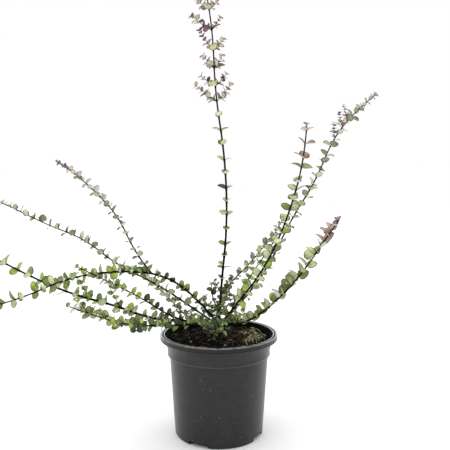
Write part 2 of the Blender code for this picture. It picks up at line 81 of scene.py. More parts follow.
# Pot
POT_HEIGHT = 0.147
LIP_RADIUS = 0.085
LIP_DEPTH = 0.0065
LIP_ROLL = 0.0016
LIP_LAND = 0.0066
LIP_RIDGE = 0.0009
LIP_GROOVE = 0.0022
BAND_TOP_RADIUS = 0.0778
BAND_FOOT_RADIUS = 0.0734
BAND_FOOT_HEIGHT = 0.118
STEP_BEAD = 0.0010
STEP_HEIGHT = 0.0022
BODY_TOP_RADIUS = 0.0714
BASE_RADIUS = 0.064
BASE_ROUND = 0.003
WALL = 0.0018
FLOOR_THICK = 0.003
POT_STEPS = 144
ARC_STEPS = 5
NOTCH_COUNT = 4
NOTCH_FIRST_HEADING = -27
NOTCH_WIDTH = 0.030
NOTCH_DEPTH = 0.010
NOTCH_HEIGHT = 0.006
NOTCH_ROUND = 0.0012
SMOOTH_ANGLE = 40
INWARD_SHARE = 0.3
WALL_RINGS = 6
LIP_UNDER = POT_HEIGHT - LIP_DEPTH
STEP_TOP = BAND_FOOT_HEIGHT + STEP_HEIGHT / 2
STEP_FOOT = BAND_FOOT_HEIGHT - STEP_HEIGHT / 2
RAISED_FLOOR = NOTCH_HEIGHT + WALL
INNER_FOOT = BASE_RADIUS - NOTCH_DEPTH - WALL

# Soil
SOIL_TOP = 0.1405
SOIL_EDGE_DROP = 0.003
SOIL_GAP = 0.00045
SOIL_RINGS = 44
SOIL_STEPS = 160
SOIL_LUMP = 0.0042
LUMP_GRAINS = ((0.009, SOIL_LUMP), (0.0024, SOIL_LUMP * 0.45))
LUMP_FADE = 0.004
LUMP_EDGE = 0.15

# Litter on the soil
LITTER_REACH = 0.97
LITTER_SINK = 0.0004
CRUMB_STRAY = (0.78, 1.12)
CHIP_WIDTH = 0.42
CHIP_THICK = 0.16
CHIP_POINT = 0.55
STRAND_STEPS = 7
STRAND_SWAY = 0.7
STRAND_SINK = 0.001
STRAND_CLEARANCE = 0.003

# Stock
STOCK_LEAN = 0.0022
STOCK_FLARE_RADIUS = 0.0050
STOCK_NECK_RADIUS = 0.0031
FLARE_HEIGHT = 0.0012
FLARE_TOP = 0.0035
HEAD_HEIGHT = 0.157
HEAD_RADIUS = 0.006
HEAD_SHARE = 0.66
HEAD_ANGLES = (-38, -15, 10, 35, 60, 80)
GAP = 0.0003

# Canes
PATH_STEPS = 64
TIP_TAPER = 0.52
LIMB_FLARE = 0.55
LIMB_FLARE_LENGTH = 0.006
LIMB_RING_PITCH = 0.0012
BARK_VOXEL = 0.00042
BARK_GRAINS = ((0.0040, 0.0008), (0.0011, 0.0005))
STEM_RING_PITCH = 0.0022
NODE_SWELL = 0.42
NODE_LENGTH = 0.0022
FIRST_NODE = 0.004
OLD_SHARE = 0.6
STEM_LEAD = 0.001
FORK_DEPTH = 2
FORK_SWELL = 1.3

# Pairs of leaves on a stem: their turns stray by degrees, their tones and sizes by shares
START_SWAY = 20
PAIR_SWAY = 14
TURN_SWAY = 10
TONE_SWAY = 0.03
STEM_LEAF_SIZES = (0.78, 1.06)
SMALL_PITCH = 0.7
LEAF_SEAT = 0.5

# Buds in the fold of a leaf
BUD_CHANCE = 0.05
BUD_SWAY = 30
BUD_WAY = (0.8, 0.7, 0.2)
BUD_LENGTHS = (0.003, 0.009)
BUD_RADII = (0.0005, 0.00045, 0.0004, 0.0003)
BUD_LEAVES = (0.28, 0.46)

# Side shoots, and the low ones along a limb
SHOOT_STEPS = 8
SHOOT_RADIUS = 0.00062
SHOOT_TAPER = 0.06
SHOOT_FIRST_NODE = 0.004
SHOOT_TILT = 48
SHOOT_TILT_SWAY = 10
SHOOT_SIDE_SWAY = 25
SHOOT_TURN_SWAY = 12
SHOOT_LENGTHS = (0.6, 1.2)
SHOOT_SIZES = (0.85, 1.1)
SHOOT_LEAF_SIZES = (0.8, 1.15)
SHOOT_FOOT_SIZE = 1.1
SHOOT_LEAF_FADE = 0.45
SHOOT_PITCH_FADE = 0.4
LOW_FIRST = 0.2
LOW_SPAN = 0.75
LOW_SWAY = 95
LOW_WAY = (0.6, 0.8)
LOW_RISES = (0.1, 0.7)
LOW_LENGTHS = (0.012, 0.030)
LOW_LEAVES = (0.0082, 0.0104)
LOW_PITCH = 1.0

# Leaves: how each turns, then its outline in rows from stalk to tip, and the shapes that it takes
LEAF_SWAY = 11
BACK_SHARE = 0.22
LEVELLING = 0.25
LIFT_STRAY = (0.6, 1.4)
MOST_FACING = 0.95
FACING_STRAY = (0.4, 1.3)
FACE_STRAY = 0.16
WIDTH_STRAY = (0.9, 1.1)
LEAF_WIDTH = 0.88
LEAF_THICK = 0.024
LEAF_ROWS = (0.0, 0.07, 0.16, 0.32, 0.52, 0.74, 0.91, 1.0)
LEAF_HALF_WIDTHS = (0.05, 0.06, 0.70, 0.99, 1.0, 0.87, 0.55, 0.0)
LEAF_SHAPES = [(0.24, 0.24, 0.00), (0.34, 0.36, 0.12), (0.14, 0.12, -0.14), (0.28, 0.46, -0.08)]
UP = Vector((0.0, 0.0, 1.0))


@dataclass
class Cane:
    """One cane of the shrub: its limb is bare, and the rest of it bears leaves.

    The heading is the angle from +X towards +Y in degrees, which changes evenly by the turn. The rises
    are its angles above level at even shares of its length. It is bare for a distance from its foot,
    and a cane with a parent starts at that share of the parent's length.
    The leaf is a blade's length, and the pitch is the distance from one pair to the next, which strays
    by the jitter. A leaf's tilt is its angle to the stem, and the lift is how far it bends up from
    there. Its facing, from 0 to 1, is how far the blades turn from their natural place to lie in one
    plane that looks to the front. Leaves grow from their share at the foot to their full size at the
    share named full, and shrink from the fade to their share at the tip.
    The tones say which colours the leaves take up to each share of the length. Low shoots stand on the
    bare limb, and side shoots inside their span of the cane: in pairs at a turn of 90, and else all on
    one side. A side shoot bends up by its lift, with leaves of its own size, spaced in leaf lengths.
    """
    name: str
    heading: float
    turn: float
    rises: tuple
    length: float
    tones: tuple
    foot_radius: float = 0.0014
    bare: float = 0.0
    leaf: float = 0.0125
    pitch: float = 0.011
    tilt: float = 54
    lift: float = 0.35
    facing: float = 0.3
    foot_leaf: float = 0.75
    full: float = 0.5
    fade: float = 0.6
    tip_leaf: float = 0.4
    jitter: float = 0.15
    parent: str = ""
    share: float = 0.0
    low_shoots: int = 0
    low_tones: str = "deep green deep olive"
    shoots: int = 0
    shoot_span: tuple = (0.3, 0.9)
    shoot_length: float = 0.03
    shoot_turn: float = 90
    shoot_leaf: float = 0.0085
    shoot_pitch: float = 0.9
    shoot_lift: float = 0.35
    shoot_tones: str = ""


CANES = [
    Cane("leader", 170, 0, (93, 96, 88, 81, 88, 78), 0.471,
         ((0.2, "green deep pale"), (0.6, "green olive pale deep"), (1.0, "bright olive pale olive")),
         foot_radius=0.0018, bare=0.058, leaf=0.0164, pitch=0.0272, tilt=50, lift=0.0, facing=0.25,
         foot_leaf=0.5, full=1.0, fade=0.97, low_shoots=3, shoots=12, shoot_span=(0.665, 0.97),
         shoot_length=0.032, shoot_leaf=0.0096, shoot_pitch=0.70, low_tones="deep deep green",
         shoot_tones="rose bronze plum olive mauve plum"),
    Cane("right_long", 50, -16, (24, 36, 53, 45, 60, 39, 32), 0.533,
         ((0.45, "deep green green"), (0.72, "deep olive deep green"), (0.93, "olive deep pale"),
          (1.0, "plum mauve rose")),
         foot_radius=0.0016, bare=0.060, leaf=0.0148, pitch=0.0165, lift=0.25, facing=0.25, fade=0.82,
         jitter=0.3, low_shoots=3, shoots=3, shoot_span=(0.72, 0.86), shoot_length=0.027, shoot_turn=0,
         shoot_leaf=0.0086, shoot_pitch=0.8, shoot_tones="plum deep mauve"),
    Cane("right_tall", -40, -16, (47, 48, 60, 69, 86), 0.321,
         ((0.55, "bright pale green"), (0.86, "pale olive green"), (0.97, "bronze mauve bronze"),
          (1.0, "mauve rose")),
         foot_radius=0.0016, bare=0.045, leaf=0.0150, pitch=0.0142, lift=0.2, facing=0.35, fade=0.94,
         jitter=0.35, low_shoots=3),
    Cane("right_low", -15, -42, (4, 39, 48, 53, 47), 0.248,
         ((0.5, "green pale bright"), (0.76, "pale olive green"), (0.92, "bronze pale bronze"),
          (1.0, "mauve rose mauve")),
         bare=0.022, leaf=0.0170, pitch=0.0110, tilt=50, lift=0.75, facing=0.45, foot_leaf=0.62, fade=0.86,
         tip_leaf=0.25, low_shoots=9, low_tones="bright green bright pale"),
    Cane("left_long", 180, 12, (11, 2, 22, 16, 25, 30, 26), 0.356,
         ((0.3, "green deep"), (0.7, "green bright green"), (1.0, "bright bright green")),
         foot_radius=0.0021, bare=0.055, leaf=0.0146, pitch=0.0138, lift=0.5, facing=0.5, fade=0.9,
         jitter=0.7, low_shoots=4, shoots=2, shoot_span=(0.34, 0.56), shoot_length=0.055, shoot_turn=0,
         shoot_leaf=0.0100, shoot_pitch=1.1, shoot_tones="green olive green"),
    Cane("left_rising", 145, 17, (22, 24, 16, 31, 15, 21, 20), 0.475,
         ((0.35, "deep green"), (0.6, "deep olive"), (0.93, "olive deep"), (1.0, "plum rose")),
         foot_radius=0.0015, bare=0.034, leaf=0.0138, pitch=0.0158, lift=0.8, facing=0.45, fade=0.75,
         jitter=0.25, low_shoots=3),
    Cane("left_arch", 199, 8, (54, 42, 9, -4, -21, -9), 0.339,
         ((0.45, "deep green green"), (0.75, "green bright olive"), (1.0, "bright bright green")),
         foot_radius=0.0016, bare=0.026, leaf=0.0140, pitch=0.0120, lift=0.3, facing=0.5, jitter=0.6,
         foot_leaf=0.5, full=0.95, fade=0.97, low_shoots=3),
    Cane("left_low", 222, -20, (13, 7, 7, 22, 26), 0.222,
         ((0.35, "deep green"), (1.0, "green olive bright pale")),
         bare=0.045, leaf=0.0114, pitch=0.0105, lift=0.4, facing=0.4, foot_leaf=0.65, fade=0.85,
         tip_leaf=0.6, low_shoots=3, shoots=14, shoot_span=(0.28, 0.90), shoot_length=0.030,
         shoot_leaf=0.0092, shoot_pitch=1.0, shoot_lift=0.8, shoot_tones="green olive bright deep"),
    # the canes at the middle bear mostly the darkest green leaves: older leaves, and painted shade
    Cane("centre_front", 262, 12, (26, 2, -12), 0.078,
         ((1.0, "deep green deep deep"),),
         foot_radius=0.0012, bare=0.014, leaf=0.0092, pitch=0.0085, fade=0.3,
         low_shoots=2, shoots=6, shoot_length=0.022, shoot_lift=0.8, shoot_tones="deep deep green"),
    Cane("centre_back", 88, -6, (22, 9, 0, -4), 0.175,
         ((1.0, "deep deep green"),),
         foot_radius=0.0012, bare=0.016, leaf=0.0115, pitch=0.0120,
         low_shoots=4),
    Cane("left_tall", 145, -10, (38, 56, 32, 27, 16), 0.274,
         ((0.85, "pale deep olive"), (1.0, "plum deep")),
         foot_radius=0.0012, leaf=0.0102, pitch=0.0128, lift=0.2, facing=0.1, foot_leaf=1.0, fade=0.6,
         parent="left_arch", share=0.37),
    Cane("left_front", 208, 10, (22, 36, 31, 29, 29), 0.180,
         ((0.4, "green deep"), (1.0, "green olive bright")),
         foot_radius=0.0012, leaf=0.0110, pitch=0.0122, facing=0.4, parent="left_long", share=0.13,
         shoots=2, shoot_length=0.022, shoot_tones="green bright"),
    Cane("left_back", 125, -15, (6, 16, 12, 3, -8), 0.235,
         ((1.0, "deep green deep"),),
         foot_radius=0.0011, leaf=0.0100, pitch=0.0122, facing=0.3, parent="left_long", share=0.08),
    Cane("right_mid", 15, 10, (75, 51, 54, 50, 61), 0.125,
         ((1.0, "green deep bright"),),
         foot_radius=0.0011, leaf=0.0116, pitch=0.0125, facing=0.3, parent="right_tall", share=0.10),
    Cane("right_back", 55, 10, (30, 20, 24, 21, 35), 0.231,
         ((1.0, "deep deep green"),),
         foot_radius=0.0011, leaf=0.0112, pitch=0.0130, facing=0.08, parent="leader", share=0.085),
    Cane("centre_left", 190, 20, (50, 80, 88), 0.040,
         ((1.0, "deep green deep"),),
         foot_radius=0.0010, leaf=0.0100, pitch=0.0090, parent="leader", share=0.04),
]

# Leaf tones: the upper face and the underside, as 0 to 255 colours. The darkest green is older leaves' own
# colour and also painted shade for the leaves in the shade at the middle and the back of the shrub.
TONES = {
    "deep": ((58, 69, 40), (124, 132, 102)),
    "green": ((102, 120, 64), (162, 170, 128)),
    "bright": ((134, 154, 66), (184, 192, 136)),
    "pale": ((164, 170, 126), (212, 213, 184)),
    "olive": ((122, 127, 86), (186, 187, 152)),
    "bronze": ((138, 114, 98), (196, 184, 160)),
    "rose": ((170, 144, 136), (208, 190, 174)),
    "mauve": ((116, 90, 100), (176, 154, 152)),
    "plum": ((72, 48, 62), (126, 96, 108)),
}


def linear(colour):
    """A linear colour with alpha from 0 to 255 values."""
    parts = []
    for value in colour:
        share = value / 255
        parts.append(share / 12.92 if share <= 0.04045 else ((share + 0.055) / 1.055) ** 2.4)
    return (*parts, 1.0)


def grey(value):
    """A grey as a 0 to 255 colour."""
    return (value, value, value)


# Shader trees

class Graph:
    """Adds nodes to a tree, one call a node."""

    def __init__(self, tree):
        self.tree = tree

    def add(self, kind, inputs=None, **settings):
        """A node with settings; an input is a value or the socket that feeds it."""
        made = self.tree.nodes.new(kind)
        for key, value in settings.items():
            setattr(made, key, value)
        for key, value in (inputs or {}).items():
            if isinstance(value, bpy.types.NodeSocket):
                self.tree.links.new(value, made.inputs[key])
            else:
                made.inputs[key].default_value = value
        return made

    def math(self, operation, first, second=0.0):
        """The result of a math node."""
        made = self.add("ShaderNodeMath", {0: first, 1: second}, operation=operation)
        return made.outputs[0]

    def ramp(self, value, low, high, start=0.0, end=1.0):
        """The value carried from one range to another, and kept inside it."""
        inputs = {"Value": value, "From Min": low, "From Max": high, "To Min": start, "To Max": end}
        return self.add("ShaderNodeMapRange", inputs, clamp=True).outputs[0]

    def mix(self, factor, first, second):
        """A colour between two colours."""
        made = self.add("ShaderNodeMix", {0: factor, 6: first, 7: second}, data_type="RGBA")
        return made.outputs[2]

    def noise(self, place, scale, detail=4.0, roughness=0.6):
        """A noise value at a place."""
        inputs = {"Vector": place, "Scale": scale, "Detail": detail, "Roughness": roughness}
        return self.add("ShaderNodeTexNoise", inputs).outputs[0]

    def object_place(self):
        """The place in the object's own coordinates."""
        return self.add("ShaderNodeTexCoord").outputs["Object"]


def new_group(name, inputs, outputs):
    """A shader group with named sockets, its graph, and its input and output nodes."""
    tree = bpy.data.node_groups.new(name, "ShaderNodeTree")
    for label, kind, value in inputs:
        socket = tree.interface.new_socket(name=label, in_out="INPUT", socket_type=kind)
        socket.default_value = value
    for label, kind in outputs:
        tree.interface.new_socket(name=label, in_out="OUTPUT", socket_type=kind)
    graph = Graph(tree)
    return graph, graph.add("NodeGroupInput").outputs, graph.add("NodeGroupOutput")


def grain_group():
    """Soft mottling and a fine grain: a shade from 0 to 1, and a height."""
    graph, given, result = new_group(
        "surface_grain",
        [("Coarse", "NodeSocketFloat", 60.0), ("Fine", "NodeSocketFloat", 900.0),
         ("Balance", "NodeSocketFloat", 0.5)],
        [("Shade", "NodeSocketFloat"), ("Height", "NodeSocketFloat")])
    place = graph.object_place()
    coarse = graph.noise(place, given["Coarse"])
    fine = graph.noise(place, given["Fine"], 2.0, 0.5)
    shade = graph.add("ShaderNodeMix", {0: given["Balance"], 2: coarse, 3: fine}).outputs[0]
    graph.tree.links.new(graph.ramp(shade, 0.3, 0.7), result.inputs["Shade"])
    graph.tree.links.new(fine, result.inputs["Height"])
    return graph.tree


def speck_group():
    """Small scattered specks: a mask from 0 to 1."""
    graph, given, result = new_group(
        "specks",
        [("Scale", "NodeSocketFloat", 300.0), ("Size", "NodeSocketFloat", 0.12),
         ("Cover", "NodeSocketFloat", 0.2)],
        [("Mask", "NodeSocketFloat")])
    place = graph.object_place()
    cells = graph.add("ShaderNodeTexVoronoi", {"Vector": place, "Scale": given["Scale"]})
    chosen = graph.math("LESS_THAN", cells.outputs["Color"], given["Cover"])
    near = graph.math("LESS_THAN", cells.outputs["Distance"], given["Size"])
    graph.tree.links.new(graph.math("MULTIPLY", chosen, near), result.inputs["Mask"])
    return graph.tree


def blade_group():
    """A leaf blade on its own map: masks for the midrib and the rim, and a height for the veins."""
    graph, given, result = new_group(
        "leaf_blade",
        [("Vein Count", "NodeSocketFloat", 9.0)],
        [("Midrib", "NodeSocketFloat"), ("Rim", "NodeSocketFloat"), ("Height", "NodeSocketFloat")])
    place = graph.add("ShaderNodeUVMap", uv_map="blade").outputs[0]
    parts = graph.add("ShaderNodeSeparateXYZ", {0: place})
    along = parts.outputs[0]
    across = graph.math("ABSOLUTE", graph.math("SUBTRACT", parts.outputs[1], 0.5))
    midrib = graph.ramp(across, 0.02, 0.09, 1.0, 0.0)
    rim = graph.math("MAXIMUM", graph.ramp(across, 0.33, 0.47), graph.ramp(along, 0.84, 0.98))
    slant = graph.math("SUBTRACT", along, graph.math("MULTIPLY", across, 0.7))
    wave = graph.math("SINE", graph.math("MULTIPLY", slant, graph.math("MULTIPLY", given[0], 2 * math.pi)))
    height = graph.math("ADD", graph.math("MULTIPLY", wave, 0.15), graph.math("MULTIPLY", midrib, -1.0))
    graph.tree.links.new(midrib, result.inputs["Midrib"])
    graph.tree.links.new(rim, result.inputs["Rim"])
    graph.tree.links.new(height, result.inputs["Height"])
    return graph.tree


class Finish:
    """A material while its nodes are laid out."""

    def __init__(self, name, roughness, specular=0.5):
        self.material = bpy.data.materials.new(name)
        self.material.use_nodes = True
        self.graph = Graph(self.material.node_tree)
        self.shader = self.material.node_tree.nodes["Principled BSDF"]
        self.shader.inputs["Roughness"].default_value = roughness
        self.shader.inputs["Specular IOR Level"].default_value = specular

    def group(self, tree, **values):
        """Places a shader group with its own values."""
        made = self.graph.add("ShaderNodeGroup", node_tree=tree)
        for key, value in values.items():
            made.inputs[key.replace("_", " ")].default_value = value
        return made.outputs

    def feed(self, socket, value):
        """Feeds one of the shader's sockets."""
        self.graph.tree.links.new(value, self.shader.inputs[socket])

    def layer(self, base, mask, share, colour):
        """The base with a 0 to 255 colour over it, where the mask is and as strong as the share."""
        return self.graph.mix(self.graph.math("MULTIPLY", mask, share), base, linear(colour))

    def bump(self, height, strength, distance):
        """Feeds the shader's normal from a height."""
        inputs = {"Height": height, "Strength": strength, "Distance": distance}
        self.feed("Normal", self.graph.add("ShaderNodeBump", inputs).outputs[0])


def pot_plastic(groups):
    """Black moulded plastic: mottled and scuffed, gritty on its band, dusty, with painted shade on the
    lip's face, and wear with painted highlights on the lip's top and the step.
    """
    finish = Finish("pot_plastic_finish", 0.32, 0.36)
    graph = finish.graph
    grain = finish.group(groups["grain"], Coarse=52.0, Fine=430.0, Balance=0.5)
    dust = finish.group(groups["specks"], Scale=80.0, Size=0.065, Cover=0.8)
    streaks = graph.add("ShaderNodeMapping", {"Vector": graph.object_place(), "Scale": (1.0, 1.0, 9.0)})
    scuff = graph.ramp(graph.noise(streaks.outputs[0], 46.0, 8.0, 0.72), 0.55, 0.80)
    height = graph.add("ShaderNodeSeparateXYZ", {0: graph.object_place()}).outputs[2]
    band = graph.ramp(height, BAND_FOOT_HEIGHT, BAND_FOOT_HEIGHT + STEP_HEIGHT)
    grit = graph.ramp(graph.noise(graph.object_place(), 620.0, 3.0, 0.7), 0.35, 0.68)
    lip = graph.ramp(height, LIP_UNDER - LIP_RIDGE, LIP_UNDER)
    lip_top = graph.ramp(height, POT_HEIGHT - LIP_ROLL * 0.7, POT_HEIGHT - LIP_ROLL * 0.3)
    # painted shade: the lip's outer face and groove, under its top, are made near black
    lip_face_painted_shade = graph.math("SUBTRACT", lip, lip_top)
    # wear and a painted highlight: the lip's top ridges turn pale grey in patches
    lip_wear_and_highlight = graph.math("MULTIPLY", lip_top, graph.ramp(graph.noise(graph.object_place(), 140.0), 0.3, 0.7))
    # wear and a painted highlight: a pale line along the step's bead
    off_step = graph.math("ABSOLUTE", graph.math("SUBTRACT", height, BAND_FOOT_HEIGHT))
    step_wear_and_highlight = graph.ramp(off_step, STEP_BEAD * 0.6, STEP_BEAD * 1.6, 1.0, 0.0)
    base = graph.mix(grain["Shade"], linear(grey(15)), linear(grey(37)))
    layers = [
        (scuff, 0.4, grey(84)),
        (graph.math("MULTIPLY", band, grit), 0.35, grey(44)),
        # painted shade on the lip's face and groove
        (lip_face_painted_shade, 0.9, grey(6)),
        # wear and a painted highlight on the lip's top
        (lip_wear_and_highlight, 1.0, grey(140)),
        # wear and a painted highlight on the step
        (step_wear_and_highlight, 0.5, grey(84)),
        (dust["Mask"], 0.4, (140, 138, 134)),
    ]
    for mask, share, colour in layers:
        base = finish.layer(base, mask, share, colour)
    finish.feed("Base Color", base)
    finish.feed("Roughness", graph.ramp(grain["Shade"], 0.0, 1.0, 0.25, 0.38))
    finish.bump(grain["Height"], 0.25, 0.0005)
    return finish.material


def pot_inside_painted_shade(groups):
    """The inside of the pot's wall: dull, and made near black as painted shade."""
    finish = Finish("pot_inside_finish", 0.9, 0.05)
    grain = finish.group(groups["grain"], Coarse=120.0, Fine=700.0, Balance=0.5)
    # painted shade: near black, for the dark inside of the pot
    finish.feed("Base Color", finish.graph.mix(grain["Shade"], linear(grey(3)), linear((12, 11, 10))))
    finish.bump(grain["Height"], 0.5, 0.0006)
    return finish.material


def soil_finish(name, groups, dark, light):
    """Damp soil or what lies on it, from a dark to a light colour with pale specks."""
    finish = Finish(name, 0.95, 0.12)
    grain = finish.group(groups["grain"], Coarse=160.0, Fine=900.0, Balance=0.5)
    specks = finish.group(groups["specks"], Scale=520.0, Size=0.28, Cover=0.12)
    base = finish.graph.mix(grain["Shade"], linear(dark), linear(light))
    pale = tuple(min(255, value * 2.0 + 14) for value in light)
    finish.feed("Base Color", finish.layer(base, specks["Mask"], 0.5, pale))
    finish.bump(grain["Height"], 0.8, 0.0008)
    return finish.material


def bark_finish(name, groups, dark, light):
    """Thin bark: mottled, with pale breathing pores and a fine relief."""
    finish = Finish(name, 0.7, 0.1)
    grain = finish.group(groups["grain"], Coarse=210.0, Fine=1700.0, Balance=0.45)
    pores = finish.group(groups["specks"], Scale=900.0, Size=0.30, Cover=0.16)
    base = finish.graph.mix(grain["Shade"], linear(dark), linear(light))
    pale = tuple(min(255, value + 45) for value in light)
    finish.feed("Base Color", finish.layer(base, pores["Mask"], 0.5, pale))
    finish.bump(grain["Height"], 0.6, 0.0003)
    return finish.material


def leaf_finish(tone, upper, under, groups):
    """The two faces of a leaf, a smoother one and a dull pale underside, both with midrib and dark rim."""
    faces = []
    for side, colour, roughness in (("upper", upper, 0.50), ("under", under, 0.75)):
        finish = Finish(f"leaf_{tone}_{side}", roughness, 0.16)
        grain = finish.group(groups["grain"], Coarse=85.0, Fine=1500.0, Balance=0.22)
        blade = finish.group(groups["blade"])
        dark = tuple(value * 0.70 for value in colour)
        light = tuple(min(255, value * 1.37 + 9) for value in colour)
        base = finish.graph.mix(grain["Shade"], linear(dark), linear(light))
        rib = tuple(min(255, value * 1.15 + 18) for value in colour)
        base = finish.layer(base, blade["Midrib"], 0.55, rib)
        rim = tuple(value * share for value, share in zip(colour, (0.38, 0.35, 0.36)))
        finish.feed("Base Color", finish.layer(base, blade["Rim"], 0.9, rim))
        finish.bump(blade["Height"], 0.35, 0.0004)
        faces.append(finish.material)
    return faces


# Modelling helpers

def deselect_all():
    """Leaves nothing selected."""
    for obj in list(bpy.context.selected_objects):
        obj.select_set(False)


def select_only(obj):
    """Selects one object and makes it the active one."""
    deselect_all()
    obj.select_set(True)
    bpy.context.view_layer.objects.active = obj


def apply_modifiers(obj):
    """Applies every modifier on an object."""
    select_only(obj)
    for modifier in list(obj.modifiers):
        bpy.ops.object.modifier_apply(modifier=modifier.name)


def linked(name, data):
    """A new object for some data, in the scene."""
    obj = bpy.data.objects.new(name, data)
    bpy.context.scene.collection.objects.link(obj)
    return obj


def roughen(obj, grains, depth, direction="NORMAL", group=""):
    """Moves a surface by cloudy noise, once for each (size, strength), inside a vertex group if named."""
    for scale, strength in grains:
        clouds = bpy.data.textures.new("clouds", "CLOUDS")
        clouds.noise_scale = scale
        clouds.noise_depth = depth
        displace = obj.modifiers.new("relief", "DISPLACE")
        displace.texture = clouds
        displace.texture_coords = "LOCAL"
        displace.direction = direction
        displace.strength = strength
        displace.vertex_group = group


def close_mesh(obj):
    """Merges doubles and turns the faces outwards."""
    select_only(obj)
    bpy.ops.object.mode_set(mode="EDIT")
    bpy.ops.mesh.select_all(action="SELECT")
    bpy.ops.mesh.remove_doubles(threshold=MERGE)
    bpy.ops.mesh.normals_make_consistent(inside=False)
    bpy.ops.object.mode_set(mode="OBJECT")


def finished(obj, materials, slot, *nodes):
    """Gives a piece its materials and its body, and hides the nodes that it stands for. The slot is not
    used.
    """
    kinds = [face.material_index for face in obj.data.polygons]
    obj.data.materials.clear()
    for material in materials:
        obj.data.materials.append(material)
    obj.data.polygons.foreach_set("material_index", kinds)
    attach(obj, "root")
    if nodes:
        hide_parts(*nodes)
    return obj


def turned(name, profile, steps):
    """A closed shell spun about Z from a profile of (radius, height) points."""
    deselect_all()
    bpy.ops.mesh.primitive_plane_add(size=WALL)
    obj = bpy.context.active_object
    obj.name = name
    bpy.ops.object.mode_set(mode="EDIT")
    bpy.ops.mesh.select_all(action="SELECT")
    bpy.ops.mesh.merge(type="CENTER")
    bpy.ops.transform.translate(value=(profile[0][0], 0.0, profile[0][1]))
    for (radius, height), (next_radius, next_height) in zip(profile, profile[1:]):
        move = (next_radius - radius, 0.0, next_height - height)
        bpy.ops.mesh.extrude_vertices_move(TRANSFORM_OT_translate={"value": move})
    bpy.ops.mesh.select_all(action="SELECT")
    bpy.ops.mesh.spin(steps=steps, angle=2 * math.pi, center=(0.0, 0.0, 0.0), axis=(0.0, 0.0, 1.0))
    bpy.ops.object.mode_set(mode="OBJECT")
    close_mesh(obj)
    return obj


def arc(centre, radius, start, end, steps=ARC_STEPS):
    """Points along an arc in the profile plane, from one angle to another in degrees."""
    points = []
    for index in range(steps + 1):
        angle = math.radians(start + (end - start) * index / steps)
        points.append((centre[0] + radius * math.cos(angle), centre[1] + radius * math.sin(angle)))
    return points


def tubes(name, runs, resolution):
    """One mesh of round tubes, one for each run of (points, radii)."""
    curve = bpy.data.curves.new(name, "CURVE")
    curve.dimensions = "3D"
    curve.bevel_depth = 1.0
    curve.bevel_resolution = resolution
    curve.use_fill_caps = True
    for points, radii in runs:
        spline = curve.splines.new("POLY")
        spline.points.add(len(points) - 1)
        for place, point, radius in zip(spline.points, points, radii):
            place.co = (*point, 1.0)
            place.radius = radius
    select_only(linked(name, curve))
    bpy.ops.object.convert(target="MESH")
    obj = bpy.context.active_object
    close_mesh(obj)
    obj.data.shade_smooth()
    return obj


def copies(name, templates, placements):
    """One mesh of many copies: each placement is a template's number and a matrix."""
    points = []
    faces = []
    kinds = []
    maps = []
    for number, matrix in placements:
        template = templates[number].data
        first = len(points)
        points.extend(matrix @ vert.co for vert in template.vertices)
        for face in template.polygons:
            faces.append([first + index for index in face.vertices])
            kinds.append(face.material_index)
        if template.uv_layers:
            maps.extend(loop.uv.copy() for loop in template.uv_layers[0].data)
    mesh = bpy.data.meshes.new(name)
    mesh.from_pydata(points, [], faces)
    mesh.polygons.foreach_set("material_index", kinds)
    if maps:
        layer = mesh.uv_layers.new(name="blade")
        layer.data.foreach_set("uv", [value for place in maps for value in place])
    mesh.shade_smooth()
    return linked(name, mesh)


def remove(objects):
    """Removes objects that were only a start."""
    for obj in objects:
        bpy.data.objects.remove(obj, do_unlink=True)


# Pot

def wall_radius(height):
    """The pot's outer radius below its lip, at a height."""
    if height >= BAND_FOOT_HEIGHT:
        share = (height - BAND_FOOT_HEIGHT) / (POT_HEIGHT - BAND_FOOT_HEIGHT)
        return BAND_FOOT_RADIUS + share * (BAND_TOP_RADIUS - BAND_FOOT_RADIUS)
    share = height / BAND_FOOT_HEIGHT
    return BASE_RADIUS + share * (BODY_TOP_RADIUS - BASE_RADIUS)


def inner_radius(height, gap=0.0):
    """The radius inside the pot's wall at a height, less a gap."""
    return wall_radius(height) - WALL - gap


def pot_profile():
    """The pot's outline: from the middle of its floor up its inside, over the lip and down its outside."""
    inner_lip = LIP_RADIUS - LIP_LAND
    profile = [(0.0, FLOOR_THICK), (INNER_FOOT - WALL, FLOOR_THICK), (INNER_FOOT, RAISED_FLOOR)]
    for height in (RAISED_FLOOR, STEP_FOOT, STEP_TOP, LIP_UNDER):
        profile.append((inner_radius(height), height))
    profile += arc((inner_lip + LIP_RIDGE, POT_HEIGHT - LIP_RIDGE), LIP_RIDGE, 180, 10)
    profile += [(inner_lip + LIP_RIDGE * 2.4, POT_HEIGHT - LIP_GROOVE)]
    profile += arc((LIP_RADIUS - LIP_ROLL, POT_HEIGHT - LIP_ROLL), LIP_ROLL, 165, 0)
    profile += [(LIP_RADIUS - LIP_ROLL * 0.35, POT_HEIGHT - LIP_DEPTH * 0.62)]
    profile += arc((LIP_RADIUS - LIP_ROLL * 0.6, LIP_UNDER), LIP_ROLL * 0.6, 20, -90)
    profile += [(wall_radius(LIP_UNDER) + LIP_ROLL, LIP_UNDER - LIP_ROLL * 0.6)]
    profile += [(wall_radius(LIP_UNDER) + LIP_ROLL * 0.2, LIP_UNDER - LIP_ROLL * 1.6)]
    profile += [(wall_radius(STEP_TOP), STEP_TOP + STEP_HEIGHT * 0.6)]
    profile += arc((wall_radius(STEP_TOP), BAND_FOOT_HEIGHT), STEP_BEAD, 75, -75)
    profile += [(wall_radius(STEP_FOOT), STEP_FOOT - STEP_HEIGHT * 0.5)]
    for index in range(1, WALL_RINGS):
        height = STEP_FOOT + (BASE_ROUND - STEP_FOOT) * index / WALL_RINGS
        profile.append((wall_radius(height), height))
    profile += arc((wall_radius(0.0) - BASE_ROUND, BASE_ROUND), BASE_ROUND, 0, -90)
    return profile + [(0.0, 0.0)]


